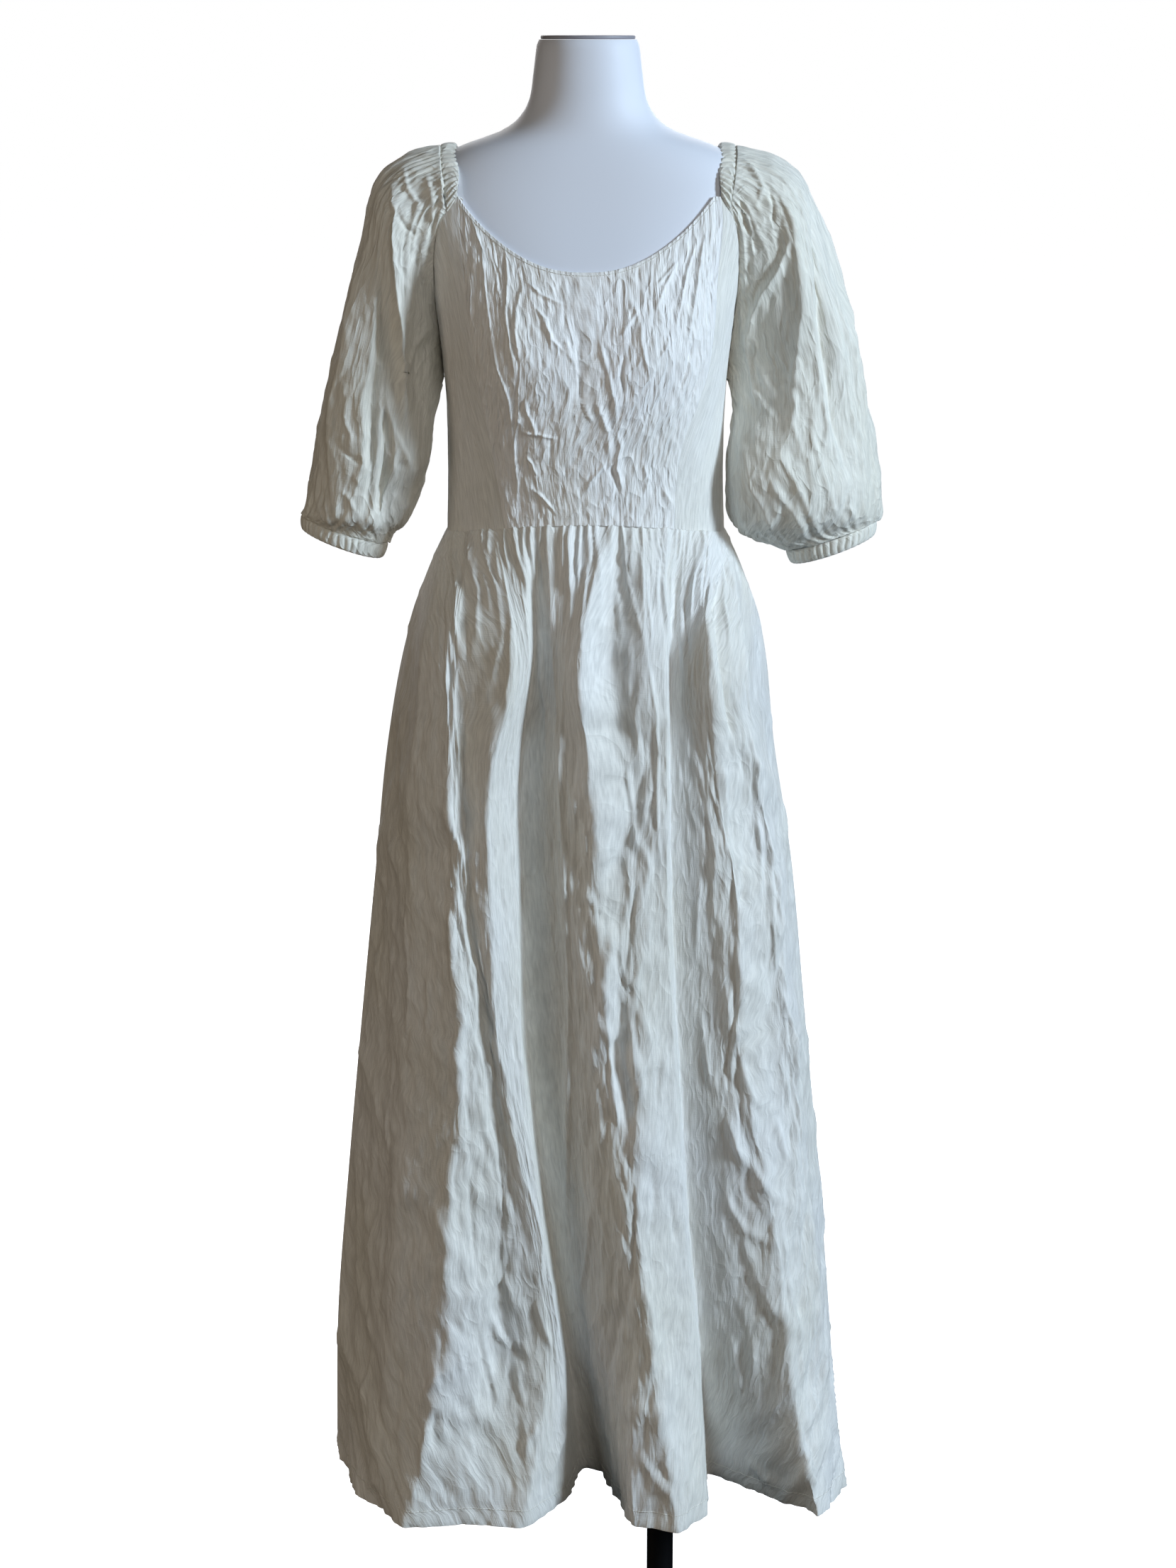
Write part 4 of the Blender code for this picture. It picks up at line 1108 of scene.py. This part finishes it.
def make_bodice_side(name, node, side):
    share, up = grid_shares(*BODICE_SIDE_GRID)
    seam_foot = princess_angle(side, 0.0)
    seam_head = princess_angle(side, 1.0)
    start = own((SEAM_TURN, math.pi - SEAM_TURN), side)
    bow = princess_angle(side, up) - mix(seam_foot, seam_head, up)
    top_angle, top = raglan(1 - share, side, "front")
    angle = mix(mix(start, seam_foot, share), top_angle, up) + share * bow
    points = body_point(angle + share * SEAM_TURN * side, mix(waist_height(angle) + SEAM_GAP, top, up))
    cloth = Cloth(points[:, ::-side])
    across = cloth.widths()
    along = cloth.lengths()
    share = share[:, ::-side]
    edge = inside(share, 0.08)
    cloth.raise_by(edge * crumples(across, along, BODICE_SIDE_CRUMPLES))
    turn_edges(cloth, "left", "right", "top", "bottom")
    return make_piece(name, cloth, GAUZE, node)


def make_bodice_back():
    foot_turn = math.radians(BACK_FOOT_ANGLE)
    raglan_steps = np.linspace(1, 0, RAGLAN_COLUMNS)
    right_angle, right_top = raglan(raglan_steps, 1, "back")
    left_angle, left_top = raglan(raglan_steps[::-1], -1, "back")
    right_foot = math.pi + foot_turn * (1 - raglan_steps)
    left_foot = 2 * math.pi - foot_turn * raglan_steps
    share = np.linspace(0, 1, BACK_NECK_COLUMNS + 2)[1:-1]
    neck_foot = mix(math.pi + foot_turn, 2 * math.pi - foot_turn, share)
    neck_angle = mix(right_angle[-1], 2 * math.pi + left_angle[0], share)
    neck_top = mix(BACK_LOW_Z, BACK_CORNER_Z, np.abs(2 * share - 1) ** BACK_NECKLINE_POWER)
    foot = np.concatenate([right_foot, neck_foot, left_foot])
    head = np.concatenate([right_angle, neck_angle, 2 * math.pi + left_angle])
    top = np.concatenate([right_top, neck_top, left_top])
    foot = np.clip(foot, math.pi + SEAM_TURN, 2 * math.pi - SEAM_TURN)
    share, up = grid_shares(len(foot), BODICE_BACK_ROWS)
    angle = mix(foot, head, up)
    cloth = Cloth(body_point(angle, mix(waist_height(angle) + SEAM_GAP, top, up)))
    across = cloth.widths()
    along = cloth.lengths()
    edge = inside(share, 0.03)
    cloth.raise_by(edge * crumples(across, along, BODICE_BACK_CRUMPLES))
    turn_edges(cloth, "left", "right")
    turn_edge(cloth, "top", depth=0.006)
    turn_edge(cloth, "bottom")
    return make_piece("gauze_bodice_back", cloth, GAUZE, "bodice_back")


# The sleeves

def station_rows(side):
    """Stations down a sleeve: their place, and inner, outer, belly, roundness and forward."""
    rows = []
    for share, left, right, belly, roundness in SLEEVE_HEAD:
        rows.append((share, None, own((left, right), side), belly, roundness, 0.0))
    places = [1 + TUBE_STEP * k for k in range(1, len(SLEEVE_TUBE) + 1)] + [CUFF_PLACE]
    for place, (*pair, belly, roundness) in zip(places, SLEEVE_TUBE + CUFF[:1]):
        inner, outer, forward = own(pair, side)
        rows.append((place, inner, outer, belly, roundness, forward))
    return rows


def rounded_in(front_seam, back_seam, outer, turn, roundness):
    """From the front seam over the outermost point to the back seam, and how far out each point is."""
    middle = (front_seam + back_seam) / 2
    reach = np.sin(turn) ** roundness
    return middle + (front_seam - middle) * np.cos(turn) + (outer - middle) * reach, reach


def sleeve_grid(side, columns, rows):
    """The sleeve's form, each point's share of the way round, and its place down the sleeve."""
    stations = station_rows(side)
    place = np.array([row[0] for row in stations])
    at = np.linspace(place[0] + 0.003, place[-1] - 0.012, rows)
    outer_x, outer_z = [spline(place, [row[2][k] for row in stations], at) for k in (0, 1)]
    belly, roundness, forward = [spline(place, [row[k] for row in stations], at) for k in (3, 4, 5)]
    outer = np.stack((side * outer_x, np.zeros(rows), outer_z), axis=-1)
    underarm = body_point(*raglan(1.0, side, "front"))
    tubes = [row for row in stations if row[1] is not None]
    knots = np.array([1.0] + [row[0] for row in tubes])
    inner_x = spline(knots, [abs(underarm[0])] + [row[1][0] for row in tubes], np.maximum(at, 1.0))
    inner_z = spline(knots, [underarm[2]] + [row[1][1] for row in tubes], np.maximum(at, 1.0))
    tube = np.stack((side * inner_x, np.zeros(rows), inner_z), axis=-1)
    seams = []
    for facing in ("front", "back"):
        head = body_point(*raglan(np.minimum(at, 1.0), side, facing))
        seams.append(np.where((at > 1.0)[:, None], tube, head))
    away = unit(outer - (seams[0] + seams[1]) / 2) * RAGLAN_LIFT * (1 - smooth(0.95, 1.2, at))[:, None]
    front_seam, back_seam = [(seam + away)[:, None, :] for seam in seams]
    turn = math.pi * np.linspace(0, 1, columns)[None, :, None]
    points, reach = rounded_in(front_seam, back_seam, outer[:, None, :], turn, roundness[:, None, None])
    points[..., 1] -= belly[:, None] * np.sin(2 * turn[..., 0]) + forward[:, None] * (1 - reach[..., 0])
    share = np.broadcast_to(np.linspace(0, 1, columns)[None, :], points.shape[:2])
    return points, share, np.broadcast_to(at[:, None], points.shape[:2])


def make_sleeve(name, node, side, table, seed):
    points, share, place = sleeve_grid(side, *SLEEVE_GRID)
    cloth = Cloth(points[:, ::side])
    share = share[:, ::side]
    down = cloth.lengths()
    up = down[-1] - down
    across = cloth.widths()
    seam = inside(share, 0.02)
    seam = np.where(place > 1.05, 1.0, seam)
    head = gathers(share, down, NECK_GATHERS, seed) - 0.4 * (1 - smooth(0.02, 0.08, down))
    cuff = gathers(share, up, CUFF_GATHERS, seed + 1) - 0.4 * (1 - smooth(0.02, 0.08, up))
    cloth.raise_by(NECK_GATHER_HEIGHT * seam * head * smooth(-0.004, 0.012, down))
    cloth.raise_by(CUFF_GATHER_HEIGHT * seam * cuff * smooth(-0.004, 0.012, up))
    relief = creases(across, down, table)
    relief += crumples(across, down, SLEEVE_CRUMPLES, seed)
    cloth.raise_by(seam * relief)
    turn_edges(cloth, "left", "right")
    turn_edges(cloth, "top", "bottom", depth=0.003)
    return make_piece(name, cloth, SHADED_SLEEVE_GAUZE, node)


def ring(front_seam, back_seam, outer, belly, roundness, columns):
    turn = math.pi * np.linspace(0, 1, columns)[:, None]
    points = rounded_in(front_seam, back_seam, outer, turn, roundness)[0]
    points[:, 1] -= belly * np.sin(2 * turn[:, 0])
    return points


def make_band(name, node, rings, side, ruches, seed, closed, sink=0.0):
    """An elasticated casing between two rings: a rounded band drawn up into ruches."""
    down = np.linspace(0, 1, 15)[:, None]
    points = mix(rings[0], rings[1], down[..., None])
    cloth = Cloth(points[:, ::side])
    share = np.linspace(0, 1, points.shape[1])[None, :]
    bulge = np.sqrt(np.clip(1 - (2 * down - 1) ** 2, 0, 1))
    wave = share * ruches + 0.22 * noise(share * ruches * 0.45, down * 1.3, seed)
    ruche = (np.abs(np.sin(math.pi * wave)) ** 0.8 - 0.5) * (0.45 + 0.55 * bulge)
    cloth.raise_by(-sink * np.abs(np.sin(2 * math.pi * share)) * (1 - 0.6 * down))
    if closed:
        cloth.raise_by(BAND_BULGE * bulge + CUFF_RUCHE * ruche)
        turn_edge(cloth, "top", depth=0.0015)
        turn_edge(cloth, "bottom", depth=0.0025, turn=math.pi)
    else:
        cloth.raise_by(BAND_BULGE * bulge + NECK_RUCHE * ruche * inside(share, 0.012))
        turn_edge(cloth, "top", depth=0.0045)
        turn_edge(cloth, "bottom", depth=0.0025)
        turn_edges(cloth, "left", "right", depth=0.002)
    return make_piece(name, cloth, SHADED_SLEEVE_GAUZE, node)


def make_neck_casing(name, node, side, seed):
    rings = []
    for share, (across, height) in ((0.0, CASING_EDGE), (CASING_SHARE, own(SLEEVE_HEAD[0][1:], side))):
        outer = np.array([side * across, 0.0, height])
        seams = [body_point(*raglan(share, side, facing)) for facing in ("front", "back")]
        away = unit(outer - (seams[0] + seams[1]) / 2) * RAGLAN_LIFT
        rings.append(ring(seams[0] + away, seams[1] + away, outer, 0.0, 1.0, CASING_COLUMNS))
    return make_band(name, node, rings, side, NECK_RUCHES, seed, False, 0.0055)


def make_cuff(name, node, side, seed):
    rings = []
    for *pair, belly, roundness in CUFF:
        inner, outer = [np.array([side * across, 0.0, height]) for across, height in own(pair, side)[:2]]
        rings.append(ring(inner, inner, outer, belly, roundness, CUFF_COLUMNS))
    return make_band(name, node, rings, side, CUFF_GATHERS, seed, True)


# The form and the stand

def make_form():
    columns, rows = FORM_GRID
    at = np.linspace(FORM[0][0], FORM[-1][0], rows)[::-1, None]
    angle = np.linspace(0, 2 * math.pi, columns)[None, :]
    x, y = oval(np.broadcast_to(angle, (rows, columns)), *table_at(FORM, at))
    points = np.stack((x, y, np.broadcast_to(at, x.shape)), axis=-1)
    piece = make_piece("smooth_form", Cloth(points), SHELL, "dress_form")
    bm = bmesh.new()
    bm.from_mesh(piece.data)
    bmesh.ops.remove_doubles(bm, verts=bm.verts, dist=1e-6)
    rims = [edge for edge in bm.edges if edge.is_boundary]
    bmesh.ops.holes_fill(bm, edges=rims)
    bm.to_mesh(piece.data)
    bm.free()
    piece.data.shade_smooth()
    piece.data.set_sharp_from_angle(angle=math.radians(50))


def make_turned(name, node, profile, material, centre, squash=1.0):
    """A turned piece from a profile of (radius, height)."""
    turns = 2 * math.pi * np.arange(TURNED_SEGMENTS) / TURNED_SEGMENTS
    points = []
    for radius, height in profile:
        x = centre[0] + radius * np.cos(turns)
        y = centre[1] + radius * np.sin(turns) * squash
        points.append(np.stack((x, y, np.full(TURNED_SEGMENTS, height)), axis=-1))
    faces = between_rings(len(points), TURNED_SEGMENTS)
    top = TURNED_SEGMENTS * (len(points) - 1)
    faces.append(tuple(range(TURNED_SEGMENTS))[::-1])
    faces.append(tuple(range(top, top + TURNED_SEGMENTS)))
    mesh = new_mesh(name, points, faces)
    add_piece(name, mesh, material, node)
    mesh.set_sharp_from_angle(angle=math.radians(40))


def rounded(radius, low, high, edge):
    """A cylinder's profile with rounded edges."""
    steps = np.linspace(0, math.pi / 2, 7)
    foot = [(radius - edge + edge * math.sin(a), low + edge - edge * math.cos(a)) for a in steps]
    head = [(radius - edge + edge * math.cos(a), high - edge + edge * math.sin(a)) for a in steps]
    return foot + head


def make_stand():
    collar_top = FORM[0][0] - PIECE_GAP
    collar_low = collar_top - COLLAR_HEIGHT
    hub_low = BASE_THICKNESS + PIECE_GAP
    hub_top = hub_low + HUB_HEIGHT
    rounds = (
        ("base_plate", "base", BASE_RADIUS, 0.0, BASE_THICKNESS, BASE_EDGE),
        ("base_hub", "hub", HUB_RADIUS, hub_low, hub_top, HUB_EDGE),
        ("stand_pole", "pole", POLE_RADIUS, hub_top + PIECE_GAP, collar_low - PIECE_GAP, POLE_EDGE),
        ("form_collar", "collar", COLLAR_RADIUS, collar_low, collar_top, HUB_EDGE),
    )
    for name, node, radius, low, high, edge in rounds:
        make_turned(name, node, rounded(radius, low, high, edge), METAL, (POLE_X, 0.0))


def make_cap():
    height, half_width, front, back = FORM[-1][:4]
    low = height + PIECE_GAP
    radius = half_width - NECK_CAP_INSET
    squash = ((front + back) / 2 - NECK_CAP_INSET) / radius
    profile = rounded(radius, low, low + NECK_CAP_HEIGHT, NECK_CAP_EDGE)
    make_turned("neck_top", "neck_cap", profile, CAP, (0.0, (back - front) / 2), squash)


# The studio

def add_light(name, where, target, size, power, colour):
    data = bpy.data.lights.new(name, "AREA")
    data.shape = "RECTANGLE"
    data.size, data.size_y = size
    data.energy = power
    data.color = colour
    lamp = add_object(name, data)
    lamp.location = where
    x, y, z = np.array(target) - np.array(where)
    lamp.rotation_euler = (math.pi / 2 + math.atan2(z, math.hypot(x, y)), 0.0, math.atan2(y, x) - math.pi / 2)


def make_studio():
    corners = [(x * FLOOR_REACH, y * FLOOR_REACH, FLOOR_Z) for x, y in ((-1, -1), (1, -1), (1, 1), (-1, 1))]
    mesh = new_mesh("floor", corners, [(0, 1, 2, 3)])
    glow = {"Specular IOR Level": 0.0, "Emission Color": WHITE, "Emission Strength": 1.0}
    mesh.materials.append(new_material("pale_floor", (0.9, 0.9, 0.9), 0.9, glow)[0])
    floor = add_object("floor", mesh)
    floor.visible_diffuse = False
    floor.visible_glossy = False

    world = bpy.data.worlds.new("studio")
    bpy.context.scene.world = world
    world.use_nodes = True
    fill(world.node_tree.nodes["Background"], {"Color": WHITE, "Strength": 1.0})
    world.cycles_visibility.diffuse = False
    world.cycles_visibility.glossy = False
    for light in LIGHTS:
        add_light(*light)
    bpy.context.scene.view_settings.view_transform = "Standard"


def make_camera():
    data = bpy.data.cameras.new("camera")
    data.sensor_width = CAMERA_SENSOR
    data.lens = CAMERA_LENS
    camera = add_object("camera", data)
    camera.location = (0.0, -CAMERA_DISTANCE, CAMERA_HEIGHT)
    camera.rotation_euler = (math.radians(90.0 - CAMERA_PITCH), 0.0, 0.0)
    bpy.context.scene.camera = camera


make_camera()
make_studio()
front_lines = gather_rows(FRONT_GATHERS) + list(FRONT_CREASES)
skirt_front = make_skirt(
    "gauze_skirt_front", "skirt_front", FRONT_FOLDS, FRONT_CRUMPLED, 0.0, front_lines,
    FRONT_GATHER_HEIGHT, 11, SKIRT_FRONT_GRID,
)
skirt_back = make_skirt(
    "gauze_skirt_back", "skirt_back", BACK_FOLDS, BACK_CRUMPLED, math.pi, (),
    BACK_GATHER_HEIGHT, 31, SKIRT_BACK_GRID,
)
bodice_front = make_bodice_front()
side_left = make_bodice_side("gauze_side_front_left", "bodice_side_front_left", -1)
side_right = make_bodice_side("gauze_side_front_right", "bodice_side_front_right", 1)
bodice_back = make_bodice_back()
sleeve_left = make_sleeve("gauze_sleeve_left", "sleeve_left", -1, LEFT_SLEEVE_CREASES, 41)
sleeve_right = make_sleeve("gauze_sleeve_right", "sleeve_right", 1, RIGHT_SLEEVE_CREASES, 51)
casing_left = make_neck_casing("gauze_casing_left", "neck_casing_left", -1, 61)
casing_right = make_neck_casing("gauze_casing_right", "neck_casing_right", 1, 62)
cuff_left = make_cuff("gauze_cuff_left", "cuff_left", -1, 63)
cuff_right = make_cuff("gauze_cuff_right", "cuff_right", 1, 64)
make_form()
make_cap()
make_stand()
